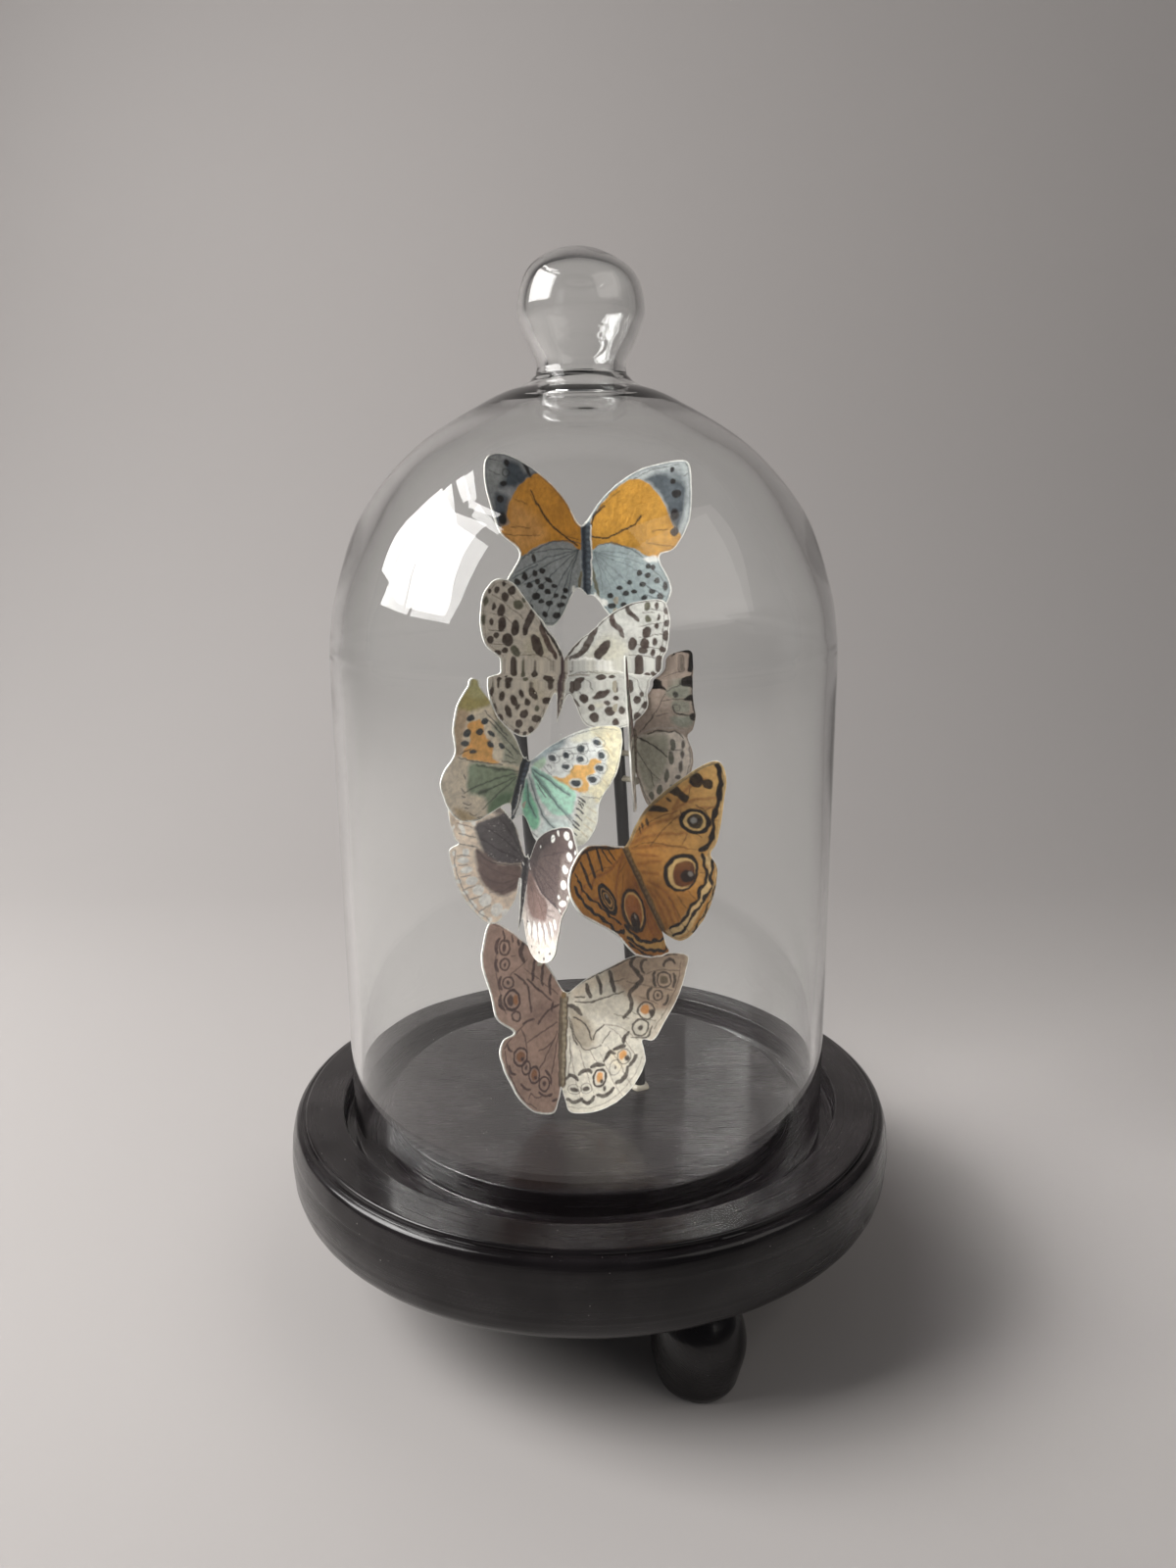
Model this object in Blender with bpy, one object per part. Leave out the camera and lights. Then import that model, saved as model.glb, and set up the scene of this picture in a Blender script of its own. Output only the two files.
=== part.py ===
"""Seven folded paper butterflies on two rods, under a glass dome on a turned black base.

Metres, +Z up. The origin is on the floor, on the axis of the base.
Run with: blender --background --python part.py
"""

import math

import bmesh
import bpy
from mathutils import Matrix, Vector

MM = 0.001
GAP = 0.3

# Base and feet, in millimetres
BASE_RADIUS = 63.6
BASE_HEIGHT = 19.0
FOOT_HEIGHT = 18.5
FOOT_RADIUS = 9.0
FOOT_CIRCLE = 50.0
FOOT_COUNT = 3
FIRST_FOOT_ANGLE = -66.5
RIM_HEIGHT = FOOT_HEIGHT + BASE_HEIGHT
PLATEAU_RADIUS = 42.8
GROOVE_RADIUS = 52.5
GROOVE_DEPTH = 5.0
CREASE_RADIUS = 60.5

# Glass dome, in millimetres, heights above the rim of the base
GLASS_RADIUS = 50.0
WALL = 2.0
GLASS_BOTTOM = GAP - GROOVE_DEPTH
GLASS_X = -0.4

# Rods and paper, in millimetres
ROD_RADIUS = 1.3
PAPER = 0.4

# Corner points between which the round stretches of the glass run: radius, height above the rim
OUTER_GLASS = [(50.0, 92.0), (48.1, 107.0), (42.8, 121.0), (32.0, 133.5), (18.0, 142.2),
               (10.5, 145.3), (8.5, 148.6), (11.0, 154.6), (12.0, 159.5), (9.2, 166.3), (0.0, 169.8)]
INNER_GLASS = [(48.0, 90.0), (45.6, 105.6), (39.5, 118.3), (29.6, 130.2), (16.6, 138.4),
               (8.4, 142.2), (6.3, 148.4), (9.1, 154.8), (10.3, 159.3), (7.8, 165.0), (0.0, 167.4)]

# Rod centre lines: x, y, height above the rim. The right rod bows forward to the butterflies that
# it carries in front, and back again to pass behind the top one.
ROD_Y = -1.5
RODS = {
    "rod_left": [(-8.8, ROD_Y, GAP), (-10.2, ROD_Y, 27.0), (-11.9, ROD_Y, 56.0), (-13.9, ROD_Y, 84.0)],
    "rod_right": [(11.0, ROD_Y, GAP), (8.8, ROD_Y, 31.0), (8.1, -4.6, 46.0), (7.4, -5.0, 57.0),
                  (6.1, -4.9, 82.0), (6.1, -1.7, 94.0), (6.3, 1.0, 106.5)],
}

# One butterfly each: centre of the body (x, y, height above the rim), body length, turn about the
# view axis and backward lean in degrees, how far each wing is folded forward in degrees, colour,
# and the two outlines. An outline point is (distance out from the body, distance up along it).
BUTTERFLIES = {
    "butterfly_1": dict(
        centre=(0.3, 1.0, 113.4), body=14.4, turn=-1.0, lean=6.0, folds=(28, 16),
        colour=(0.45, 0.33, 0.16),
        left=[(1.5, 7.0), (5.5, 11.0), (10.0, 14.5), (15.5, 17.5), (19.0, 18.0), (21.0, 16.0),
              (20.8, 10.5), (18.5, 5.0), (14.4, 1.3), (17.0, -3.5), (18.2, -6.5), (17.5, -9.5),
              (15.0, -12.0), (9.0, -13.2), (6.0, -12.0), (3.3, -7.0), (1.9, -5.5)],
        right=[(1.3, 8.2), (5.0, 11.3), (9.5, 14.0), (13.0, 15.3), (19.0, 16.2), (21.0, 15.2),
               (21.3, 11.0), (20.8, 6.3), (17.8, 1.6), (14.8, 0.2), (16.8, -5.0), (16.8, -8.0),
               (13.6, -13.0), (9.7, -14.1), (6.3, -13.4), (4.0, -11.0), (1.6, -7.5)]),
    "butterfly_2": dict(
        centre=(-5.1, -3.0, 86.6), body=12.3, turn=8.1, lean=0.0, folds=(30, 21),
        colour=(0.62, 0.56, 0.50),
        left=[(1.2, 8.5), (4.3, 12.7), (9.2, 17.0), (13.0, 21.0), (16.0, 22.0), (18.0, 21.0),
              (19.5, 17.5), (19.0, 11.5), (17.3, 8.0), (13.8, 4.9), (16.3, 2.0), (15.4, -2.0),
              (13.3, -5.5), (10.0, -8.4), (6.5, -9.3), (4.0, -7.0), (2.3, -2.6), (1.1, 0.0)],
        right=[(1.8, 10.0), (5.8, 15.0), (10.0, 18.8), (13.7, 20.7), (17.8, 21.6), (19.7, 19.7),
               (20.8, 15.0), (20.4, 10.7), (19.0, 7.0), (18.0, 4.0), (18.4, 0.2), (16.0, -3.4),
               (12.0, -5.3), (6.5, -5.7), (3.4, -1.7), (1.7, 0.0)]),
    "butterfly_3": dict(
        centre=(9.4, -8.4, 75.6), body=8.3, turn=-2.7, lean=0.0, folds=(84, 10),
        colour=(0.50, 0.42, 0.35),
        left=[(2.4, 9.5), (5.5, 14.7), (7.2, 17.7), (10.5, 19.7), (12.2, 18.5), (12.0, 10.5),
              (12.4, 6.7), (10.6, 2.6), (11.5, -0.3), (11.4, -3.5), (9.8, -7.8), (6.7, -10.7),
              (2.8, -11.3), (1.4, -9.0), (0.5, -5.4)],
        right=[(2.1, 9.5), (5.4, 14.7), (7.1, 17.7), (10.5, 19.7), (12.2, 18.6), (12.0, 10.5),
               (12.4, 6.7), (11.7, 4.0), (10.6, 2.6), (11.5, -0.3), (11.4, -3.5), (9.8, -7.8),
               (6.7, -10.7), (2.8, -11.3), (1.4, -9.0), (0.5, -5.4)]),
    "butterfly_4": dict(
        centre=(-14.0, -3.4, 66.8), body=14.2, turn=15.1, lean=0.0, folds=(38, 16),
        colour=(0.50, 0.58, 0.40),
        left=[(1.0, 7.2), (4.4, 11.0), (9.6, 14.8), (13.3, 18.8), (17.0, 21.0), (19.0, 16.5),
              (18.9, 11.2), (17.0, 6.2), (18.5, 2.5), (18.3, -0.7), (15.3, -5.2), (12.2, -7.3),
              (8.2, -7.2), (5.4, -5.5), (1.4, -3.2)],
        right=[(1.0, 6.6), (4.2, 10.6), (8.6, 14.7), (13.7, 17.6), (17.4, 18.0), (18.8, 13.0),
               (18.8, 8.6), (17.2, 3.0), (17.8, -1.6), (17.2, -4.6), (15.7, -7.0), (11.3, -8.7),
               (6.6, -9.2), (2.5, -4.8)]),
    "butterfly_5": dict(
        centre=(-13.4, -3.2, 44.7), body=17.0, turn=8.1, lean=0.0, folds=(14, 56),
        colour=(0.32, 0.26, 0.22),
        left=[(0.8, 8.4), (4.0, 15.2), (9.3, 19.8), (14.0, 21.2), (17.0, 20.4), (17.6, 17.5),
              (15.8, 11.4), (14.6, 9.8), (16.3, 8.2), (15.3, 4.5), (13.4, 0.0), (9.4, -5.0),
              (5.8, -7.0), (3.4, -5.0), (1.5, -1.4), (1.0, 2.9)],
        right=[(0.9, 7.7), (3.0, 12.2), (7.3, 15.7), (13.5, 18.0), (16.5, 15.5), (17.7, 13.0),
               (17.3, 8.8), (16.6, 3.0), (15.2, -0.5), (14.6, -5.0), (13.5, -9.5), (9.6, -11.7),
               (6.0, -11.0), (3.6, -8.7), (1.2, -5.2)]),
    "butterfly_6": dict(
        centre=(11.2, -8.2, 47.0), body=19.9, turn=-23.8, lean=0.0, folds=(56, 18),
        colour=(0.60, 0.38, 0.16),
        left=[(1.1, 10.3), (8.8, 14.5), (13.2, 14.9), (18.0, 13.2), (20.5, 10.6), (20.6, 6.0),
              (17.6, 2.0), (13.6, -3.0), (11.0, -9.0), (5.9, -12.8), (1.2, -14.4), (0.8, -12.5)],
        right=[(0.8, 9.9), (4.5, 13.2), (8.8, 16.2), (16.7, 19.0), (24.6, 20.3), (25.4, 16.6),
               (22.4, 11.0), (18.6, 4.9), (16.2, 2.7), (16.3, -0.5), (13.7, -5.2), (9.8, -9.5),
               (5.5, -12.5), (2.8, -13.0), (1.0, -11.5)]),
    "butterfly_7": dict(
        centre=(-5.5, -7.5, 14.1), body=19.7, turn=1.6, lean=23.5, folds=(32, 12),
        colour=(0.62, 0.50, 0.36),
        left=[(0.8, 10.7), (2.3, 12.7), (4.8, 15.8), (9.0, 19.0), (13.5, 22.0), (17.2, 23.4),
              (18.8, 22.3), (19.6, 15.5), (17.0, 8.3), (15.6, 3.8), (11.6, 1.3), (14.0, -0.3),
              (14.7, -3.2), (13.2, -7.0), (10.0, -12.0), (6.3, -14.8), (2.0, -15.0), (0.7, -12.5)],
        right=[(1.3, 9.7), (4.4, 12.2), (9.0, 14.5), (15.2, 17.4), (22.6, 18.0), (26.3, 17.5),
               (26.0, 14.8), (24.7, 10.2), (23.3, 7.2), (21.3, 3.6), (19.1, 0.2), (16.8, 0.0),
               (17.5, -4.0), (15.5, -8.4), (12.4, -11.8), (7.7, -14.3), (2.2, -14.8), (0.9, -12.5)]),
}


def clear_scene():
    for item in list(bpy.data.objects):
        bpy.data.objects.remove(item, do_unlink=True)


def make_material(name, colour, roughness, metallic=0.0, transmission=0.0):
    material = bpy.data.materials.new(name)
    material.use_nodes = True
    shader = material.node_tree.nodes["Principled BSDF"]
    shader.inputs["Base Color"].default_value = (*colour, 1.0)
    shader.inputs["Roughness"].default_value = roughness
    shader.inputs["Metallic"].default_value = metallic
    shader.inputs["Transmission Weight"].default_value = transmission
    return material


def smooth_line(points, steps):
    """Points on a smooth curve through the given ones, with `steps` pieces between neighbours."""
    line = []
    last = len(points) - 1
    for i in range(last):
        before = Vector(points[max(i - 1, 0)])
        start = Vector(points[i])
        end = Vector(points[i + 1])
        after = Vector(points[min(i + 2, last)])
        for step in range(steps):
            t = step / steps
            across = (end - before) * (0.5 * t)
            bend = (before * 2 - start * 5 + end * 4 - after) * (0.5 * t * t)
            twist = (start * 3 - before - end * 3 + after) * (0.5 * t * t * t)
            line.append(tuple(start + across + bend + twist))
    line.append(tuple(points[-1]))
    return line


def finish_object(name, mesh_builder, material, location=(0.0, 0.0, 0.0), smooth_angle=40.0):
    mesh = bpy.data.meshes.new(name)
    mesh_builder.to_mesh(mesh)
    mesh_builder.free()
    mesh.materials.append(material)
    mesh.shade_smooth()
    mesh.set_sharp_from_angle(angle=math.radians(smooth_angle))
    item = bpy.data.objects.new(name, mesh)
    item.location = Vector(location) * MM
    bpy.context.scene.collection.objects.link(item)
    return item


def turned(name, profile, segments, material, location=(0.0, 0.0, 0.0)):
    """Spin a profile of (radius, height) points about the Z axis into one closed body."""
    builder = bmesh.new()
    points = [builder.verts.new((radius * MM, 0.0, height * MM)) for radius, height in profile]
    edges = [builder.edges.new(pair) for pair in zip(points, points[1:])]
    if profile[0][0] > 0.0:
        edges.append(builder.edges.new((points[-1], points[0])))
    bmesh.ops.spin(builder, geom=points + edges, cent=(0, 0, 0), axis=(0, 0, 1),
                   angle=2 * math.pi, steps=segments, use_duplicate=False)
    bmesh.ops.remove_doubles(builder, verts=builder.verts, dist=1e-6)
    bmesh.ops.recalc_face_normals(builder, faces=builder.faces)
    return finish_object(name, builder, material, location)


def make_base(material):
    """Plateau, dome groove, flat rim, crease and bullnose side, cut from one round of wood."""
    ease = 0.5
    profile = [(0.0, 0.0), (PLATEAU_RADIUS - ease, 0.0), (PLATEAU_RADIUS, -ease),
               (PLATEAU_RADIUS, -GROOVE_DEPTH), (GROOVE_RADIUS, -GROOVE_DEPTH),
               (GROOVE_RADIUS, -ease), (GROOVE_RADIUS + ease, 0.0), (CREASE_RADIUS, 0.0),
               (CREASE_RADIUS + 0.4, -0.7)]
    bullnose = [(CREASE_RADIUS + 0.9, -0.7), (BASE_RADIUS - 0.4, -4.5), (BASE_RADIUS, -8.5),
                (BASE_RADIUS - 0.4, -12.5), (BASE_RADIUS - 1.7, -15.9), (BASE_RADIUS - 6.0, -19.0)]
    profile += smooth_line(bullnose, 2)
    profile.append((0.0, -BASE_HEIGHT))
    turned("base", profile, 64, material, (0.0, 0.0, RIM_HEIGHT))


def make_feet(material):
    top = FOOT_HEIGHT - GAP
    side = [(5.6, 0.0), (7.9, 3.2), (FOOT_RADIUS, 8.6), (8.2, 13.6), (6.2, 17.0), (6.0, top)]
    profile = [(0.0, 0.0)] + smooth_line(side, 2) + [(0.0, top)]
    for index in range(FOOT_COUNT):
        angle = math.radians(FIRST_FOOT_ANGLE + 360.0 / FOOT_COUNT * index)
        place = (FOOT_CIRCLE * math.cos(angle), FOOT_CIRCLE * math.sin(angle), 0.0)
        turned("foot_%d" % (index + 1), profile, 24, material, place)


def make_dome(material):
    """One blown piece: open cylinder, round shoulder, neck and hollow ball knob."""
    outer = [(GLASS_RADIUS, GLASS_BOTTOM + 0.5)] + smooth_line(OUTER_GLASS, 2)
    inner = [(GLASS_RADIUS - WALL, GLASS_BOTTOM + 0.5)] + smooth_line(INNER_GLASS, 2)
    edge = [(GLASS_RADIUS - WALL + 0.5, GLASS_BOTTOM), (GLASS_RADIUS - 0.5, GLASS_BOTTOM)]
    profile = list(reversed(inner)) + edge + outer
    turned("glass_dome", profile, 48, material, (GLASS_X, 0.0, RIM_HEIGHT))


def make_rod(name, route, material):
    """Sweep a round section along a gently bowed centre line and close both ends."""
    sides = 12
    builder = bmesh.new()
    rings = []
    for x, y, height in smooth_line(route, 2):
        ring = []
        for side in range(sides):
            angle = 2 * math.pi * side / sides
            place = (x + ROD_RADIUS * math.cos(angle), y + ROD_RADIUS * math.sin(angle), height)
            ring.append(builder.verts.new(Vector(place) * MM))
        rings.append(ring)
    for lower, upper in zip(rings, rings[1:]):
        for side in range(sides):
            after = (side + 1) % sides
            builder.faces.new((lower[side], lower[after], upper[after], upper[side]))
    builder.faces.new(list(reversed(rings[0])))
    builder.faces.new(rings[-1])
    finish_object(name, builder, material, (0.0, 0.0, RIM_HEIGHT))


def make_butterfly(name, spec):
    """One cut sheet, folded along the body, so that both wings stand forward like a V."""
    material = make_material(name + "_paper", spec["colour"], 0.75)
    builder = bmesh.new()
    head = builder.verts.new((0.0, 0.0, spec["body"] / 2 * MM))
    tail = builder.verts.new((0.0, 0.0, -spec["body"] / 2 * MM))
    for side, key, fold in ((-1, "left", spec["folds"][0]), (1, "right", spec["folds"][1])):
        out_x = side * math.cos(math.radians(fold))
        out_y = -math.sin(math.radians(fold))
        loop = [head]
        for out, up in smooth_line(spec[key], 1):
            loop.append(builder.verts.new(Vector((out * out_x, out * out_y, up)) * MM))
        loop.append(tail)
        builder.faces.new(loop if side < 0 else list(reversed(loop)))
    item = finish_object(name, builder, material, smooth_angle=20.0)
    x, y, height = spec["centre"]
    turn = Matrix.Rotation(math.radians(spec["turn"]), 4, "Y")
    lean = Matrix.Rotation(math.radians(-spec["lean"]), 4, "X")
    item.matrix_world = Matrix.Translation(Vector((x, y, height + RIM_HEIGHT)) * MM) @ turn @ lean
    sheet = item.modifiers.new("Sheet", "SOLIDIFY")
    sheet.thickness = PAPER * MM
    sheet.offset = 0.0
    sheet.use_even_offset = True


def main():
    clear_scene()
    black_paint = make_material("black_paint", (0.012, 0.011, 0.012), 0.22)
    glass = make_material("clear_glass", (0.95, 0.97, 0.96), 0.02, transmission=1.0)
    rod_black = make_material("black_rod", (0.008, 0.008, 0.009), 0.5)
    make_base(black_paint)
    make_feet(black_paint)
    make_dome(glass)
    for name, route in RODS.items():
        make_rod(name, route, rod_black)
    for name, spec in BUTTERFLIES.items():
        make_butterfly(name, spec)


if __name__ == "__main__":
    main()
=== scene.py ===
"""Seven folded paper butterflies on two black rods, under a blown glass dome on a turned black base."""

import math

import bmesh
import bpy
import numpy as np
from bpy.props import FloatProperty, FloatVectorProperty, IntProperty, PointerProperty
from mathutils import Matrix, Vector, noise
from mathutils.geometry import delaunay_2d_cdt


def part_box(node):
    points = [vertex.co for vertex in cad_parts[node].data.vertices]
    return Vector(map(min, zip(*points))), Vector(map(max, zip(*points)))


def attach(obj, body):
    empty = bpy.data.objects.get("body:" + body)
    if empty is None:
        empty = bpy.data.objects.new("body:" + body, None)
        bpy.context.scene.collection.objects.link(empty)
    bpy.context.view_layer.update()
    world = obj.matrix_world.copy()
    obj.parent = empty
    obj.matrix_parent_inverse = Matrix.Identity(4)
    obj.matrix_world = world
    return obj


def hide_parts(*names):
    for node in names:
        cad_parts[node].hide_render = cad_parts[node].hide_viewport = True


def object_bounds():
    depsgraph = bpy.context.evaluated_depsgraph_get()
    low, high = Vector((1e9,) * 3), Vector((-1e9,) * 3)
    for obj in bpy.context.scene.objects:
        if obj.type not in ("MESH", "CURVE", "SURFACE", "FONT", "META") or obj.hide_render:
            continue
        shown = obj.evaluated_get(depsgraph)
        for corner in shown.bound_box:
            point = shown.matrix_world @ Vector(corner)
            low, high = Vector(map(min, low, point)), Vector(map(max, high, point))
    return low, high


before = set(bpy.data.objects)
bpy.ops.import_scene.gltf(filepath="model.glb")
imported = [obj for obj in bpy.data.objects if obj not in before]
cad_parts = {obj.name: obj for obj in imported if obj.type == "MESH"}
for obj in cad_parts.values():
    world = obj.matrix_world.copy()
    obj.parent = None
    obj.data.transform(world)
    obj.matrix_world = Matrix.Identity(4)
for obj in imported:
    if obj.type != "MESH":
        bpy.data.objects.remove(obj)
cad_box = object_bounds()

bl_info = {
    "name": "Butterfly Dome",
    "version": (1, 0, 0),
    "blender": (4, 5, 0),
    "location": "View3D > Sidebar > Butterfly Dome",
    "description": "Builds paper butterflies under a glass dome on a black turned base",
    "category": "Object",
}

MM = 0.001
BODY = "root"
BASE_LOW, BASE_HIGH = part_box("base")
GLASS_LOW, GLASS_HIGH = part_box("glass_dome")
RIM = BASE_HIGH[2]
BASE_RADIUS = (BASE_HIGH[0] - BASE_LOW[0]) / 2
BASE_HEIGHT = RIM - BASE_LOW[2]
FOOT_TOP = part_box("foot_1")[1][2]
GLASS_RADIUS = (GLASS_HIGH[0] - GLASS_LOW[0]) / 2
GLASS_X = (GLASS_HIGH[0] + GLASS_LOW[0]) / 2
GLASS_BOTTOM = GLASS_LOW[2] - RIM

# A profile point nearer to the axis than this, in metres, is one point and not a ring
ON_AXIS = 1e-7


# ---------------------------------------------------------------------------------------------
# Settings
# ---------------------------------------------------------------------------------------------

def length(name, description, default):
    return FloatProperty(name=name, description=description, default=default, unit="LENGTH", precision=5)


def colour(name, description, default):
    return FloatVectorProperty(name=name, description=description, default=default, size=3,
                               subtype="COLOR", min=0.0, max=1.0)


class BaseSettings(bpy.types.PropertyGroup):
    plateau: length("Plateau radius", "Radius of the raised round that the rods stand on", 42.8 * MM)
    groove: length("Groove radius", "Outer radius of the groove that the dome stands in", 52.5 * MM)
    depth: length("Groove depth", "Depth of the groove below the rim", 5.0 * MM)
    crease: length("Crease radius", "Radius of the cut line between the rim and the rounded side", 60.5 * MM)
    unevenness: length("Unevenness", "How far the painted wood strays from a true round", 0.10 * MM)
    paint: colour("Paint", "Black gloss paint, slightly warm", (0.0060, 0.0046, 0.0052))
    specks: IntProperty(name="Dust specks", description="Specks of dust per square metre",
                        default=15000, min=0)


class FeetSettings(bpy.types.PropertyGroup):
    count: IntProperty(name="Feet", description="Number of feet", default=3, min=1)
    circle: length("Foot circle", "Distance of each foot from the middle of the base", 50.0 * MM)
    radius: length("Foot radius", "Widest radius of a foot", 9.0 * MM)
    first: FloatProperty(name="First angle", description="Direction of the first foot",
                         default=math.radians(-66.5), subtype="ANGLE")


class GlassSettings(bpy.types.PropertyGroup):
    wall: length("Wall", "Thickness of the straight glass wall", 2.0 * MM)
    waviness: length("Waviness", "How far the blown wall strays from a true round", 0.10 * MM)
    ridge: length("Ridges", "Height of the folded rings at the foot of the knob", 0.16 * MM)
    ior: FloatProperty(name="IOR", description="Index of refraction of the glass", default=1.48)
    tint: colour("Tint", "Very faint tint of the glass", (0.985, 0.995, 0.990))


class RodSettings(bpy.types.PropertyGroup):
    radius: length("Rod radius", "Radius of each rod", 1.3 * MM)
    black: colour("Rod black", "Dull black paint of the rods", (0.010, 0.009, 0.010))
    glue: colour("Glue", "Dried glue that holds the rods and the paper", (0.55, 0.50, 0.40))


class PaperSettings(bpy.types.PropertyGroup):
    thickness: length("Thickness", "Thickness of the paper", 0.30 * MM)
    spacing: length("Detail", "Distance between the points that carry the print", 0.20 * MM)
    ridge: length("Body ridge", "How far the body stands out from the fold", 0.45 * MM)
    curl: length("Curl", "How far the wings bend out of flat", 0.22 * MM)
    white: colour("Bare paper", "Unprinted paper, also the back", (0.86, 0.85, 0.80))
    ochre: colour("Ochre", "Ochre of the top butterfly", (0.49, 0.245, 0.036))
    mint: colour("Mint", "Mint green of the middle butterfly", (0.60, 0.95, 0.78))
    amber: colour("Amber", "Amber of the eyespot butterfly", (0.50, 0.235, 0.040))
    ink: colour("Ink", "Darkest printed tone", (0.022, 0.018, 0.016))


class StageSettings(bpy.types.PropertyGroup):
    floor: colour("Floor", "Plain pale floor and backdrop", (0.52, 0.495, 0.485))
    key: FloatProperty(name="Window", description="Power of the window light in watts", default=5.9)
    fill: FloatProperty(name="Fill", description="Power of the soft fill light in watts", default=1.25)
    sky: FloatProperty(name="Sky", description="Strength of the even light from all round", default=0.08)


# ---------------------------------------------------------------------------------------------
# Shader and geometry node helpers
# ---------------------------------------------------------------------------------------------

class Wire:
    """One output socket. Sums written with it add Math nodes to its tree."""

    def __init__(self, graph, socket):
        self.graph = graph
        self.socket = socket

    def sum(self, operation, first, second):
        return self.graph.make("ShaderNodeMath", {"operation": operation}, {0: first, 1: second})

    def __add__(self, other):
        return self.sum("ADD", self, other)

    def __sub__(self, other):
        return self.sum("SUBTRACT", self, other)

    def __rsub__(self, other):
        return self.sum("SUBTRACT", other, self)

    def __mul__(self, other):
        return self.sum("MULTIPLY", self, other)

    def __truediv__(self, other):
        return self.sum("DIVIDE", self, other)

    __radd__ = __add__
    __rmul__ = __mul__


class Graph:
    """A node tree, with one method that adds any node to it."""

    def __init__(self, tree):
        self.tree = tree

    def make(self, kind, settings=None, inputs=None, output=0):
        node = self.tree.nodes.new(kind)
        for key, value in (settings or {}).items():
            if key == "stops":
                self.fill_ramp(node.color_ramp, value)
            else:
                setattr(node, key, value)
        for key, value in (inputs or {}).items():
            if isinstance(value, Wire):
                self.tree.links.new(value.socket, node.inputs[key])
            else:
                node.inputs[key].default_value = value
        return Wire(self, node.outputs[output]) if node.outputs else node

    def fill_ramp(self, ramp, stops):
        while len(ramp.elements) < len(stops):
            ramp.elements.new(1.0)
        for element, (position, shade) in zip(ramp.elements, stops):
            element.position = position
            element.color = (*shade, 1.0)

    def blend(self, factor, first, second, mode="MIX"):
        """Colour mix: the Mix node's colour sockets are numbers 6 and 7, and its result is number 2."""
        pair = {0: factor, 6: self.shade(first), 7: self.shade(second)}
        return self.make("ShaderNodeMix", {"data_type": "RGBA", "blend_type": mode}, pair, 2)

    def shade(self, value):
        return value if isinstance(value, Wire) else (*value, 1.0)

    def step(self, value, low, high, start=0.0, end=1.0):
        """Smooth rise from `start` to `end` while the value goes from `low` to `high`."""
        sockets = {"Value": value, "From Min": low, "From Max": high, "To Min": start, "To Max": end}
        return self.make("ShaderNodeMapRange", {"interpolation_type": "SMOOTHSTEP"}, sockets)

    def noise(self, vector, scale, detail=2.0, rough=0.5):
        sockets = {"Vector": vector, "Scale": scale, "Detail": detail, "Roughness": rough}
        return self.make("ShaderNodeTexNoise", None, sockets)

    def bump(self, height, distance, strength=1.0, normal=None):
        sockets = {"Height": height, "Distance": distance, "Strength": strength}
        if normal is not None:
            sockets["Normal"] = normal
        return self.make("ShaderNodeBump", None, sockets)


class Finish(Graph):
    """A new material with a Principled BSDF, and `surface` to set or link its sockets."""

    def __init__(self, name):
        self.material = bpy.data.materials.new(name)
        self.material.use_nodes = True
        super().__init__(self.material.node_tree)
        self.shader = self.tree.nodes["Principled BSDF"]
        self.place = self.make("ShaderNodeTexCoord", output=3)

    def surface(self, sockets):
        for key, value in sockets.items():
            if isinstance(value, Wire):
                self.tree.links.new(value.socket, self.shader.inputs[key])
            else:
                self.shader.inputs[key].default_value = value


# ---------------------------------------------------------------------------------------------
# Mesh helpers
# ---------------------------------------------------------------------------------------------

def curve_point(before, start, end, after, t):
    """Point on the smooth curve between `start` and `end`, at t from 0 to 1."""
    across = (end - before) * (0.5 * t)
    bend = (before * 2 - start * 5 + end * 4 - after) * (0.5 * t * t)
    twist = (start * 3 - before - end * 3 + after) * (0.5 * t * t * t)
    return start + across + bend + twist


def smooth_line(points, steps, mirror_end=False):
    """Points on a smooth curve through the given ones. A mirrored end is level on the axis."""
    points = [np.array(point, float) for point in points]
    last = len(points) - 1
    line = []
    for i in range(last):
        after = points[min(i + 2, last)]
        if mirror_end and i == last - 1:
            after = points[i] * (-1.0, 1.0)
        for step in range(steps):
            before = points[max(i - 1, 0)]
            line.append(curve_point(before, points[i], points[i + 1], after, step / steps))
    line.append(points[-1])
    return line


def smooth_ring(points, steps):
    """Points on a closed smooth curve through the given ones."""
    points = [np.array(point, float) for point in points]
    count = len(points)
    ring = []
    for i in range(count):
        four = [points[(i + shift) % count] for shift in (-1, 0, 1, 2)]
        ring += [curve_point(*four, step / steps) for step in range(steps)]
    return ring


def arc(centre, radius, start, end, steps):
    """Points along an arc of a turned profile, angles in degrees."""
    angles = [math.radians(start + (end - start) * step / steps) for step in range(steps + 1)]
    return [(centre[0] + radius * math.cos(a), centre[1] + radius * math.sin(a)) for a in angles]


def stretch(start, end, steps):
    """Points from start up to, and without, end."""
    return [tuple(s + (e - s) * step / steps for s, e in zip(start, end)) for step in range(steps)]


def new_object(name, verts, faces, *materials, sharp=40.0):
    """A smooth-shaded mesh object in the scene, with edges sharper than `sharp` degrees kept."""
    mesh = bpy.data.meshes.new(name)
    mesh.from_pydata([tuple(vert) for vert in verts], [], faces)
    for material in materials:
        mesh.materials.append(material)
    mesh.shade_smooth()
    mesh.set_sharp_from_angle(angle=math.radians(sharp))
    mesh.update()
    item = bpy.data.objects.new(name, mesh)
    bpy.context.scene.collection.objects.link(item)
    return item


def finish_piece(piece, slot, *nodes):
    """Attach a piece to the body and hide the CAD nodes that it stands for; its material slot is not used.
    """
    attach(piece, BODY)
    if nodes:
        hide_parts(*nodes)


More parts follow.
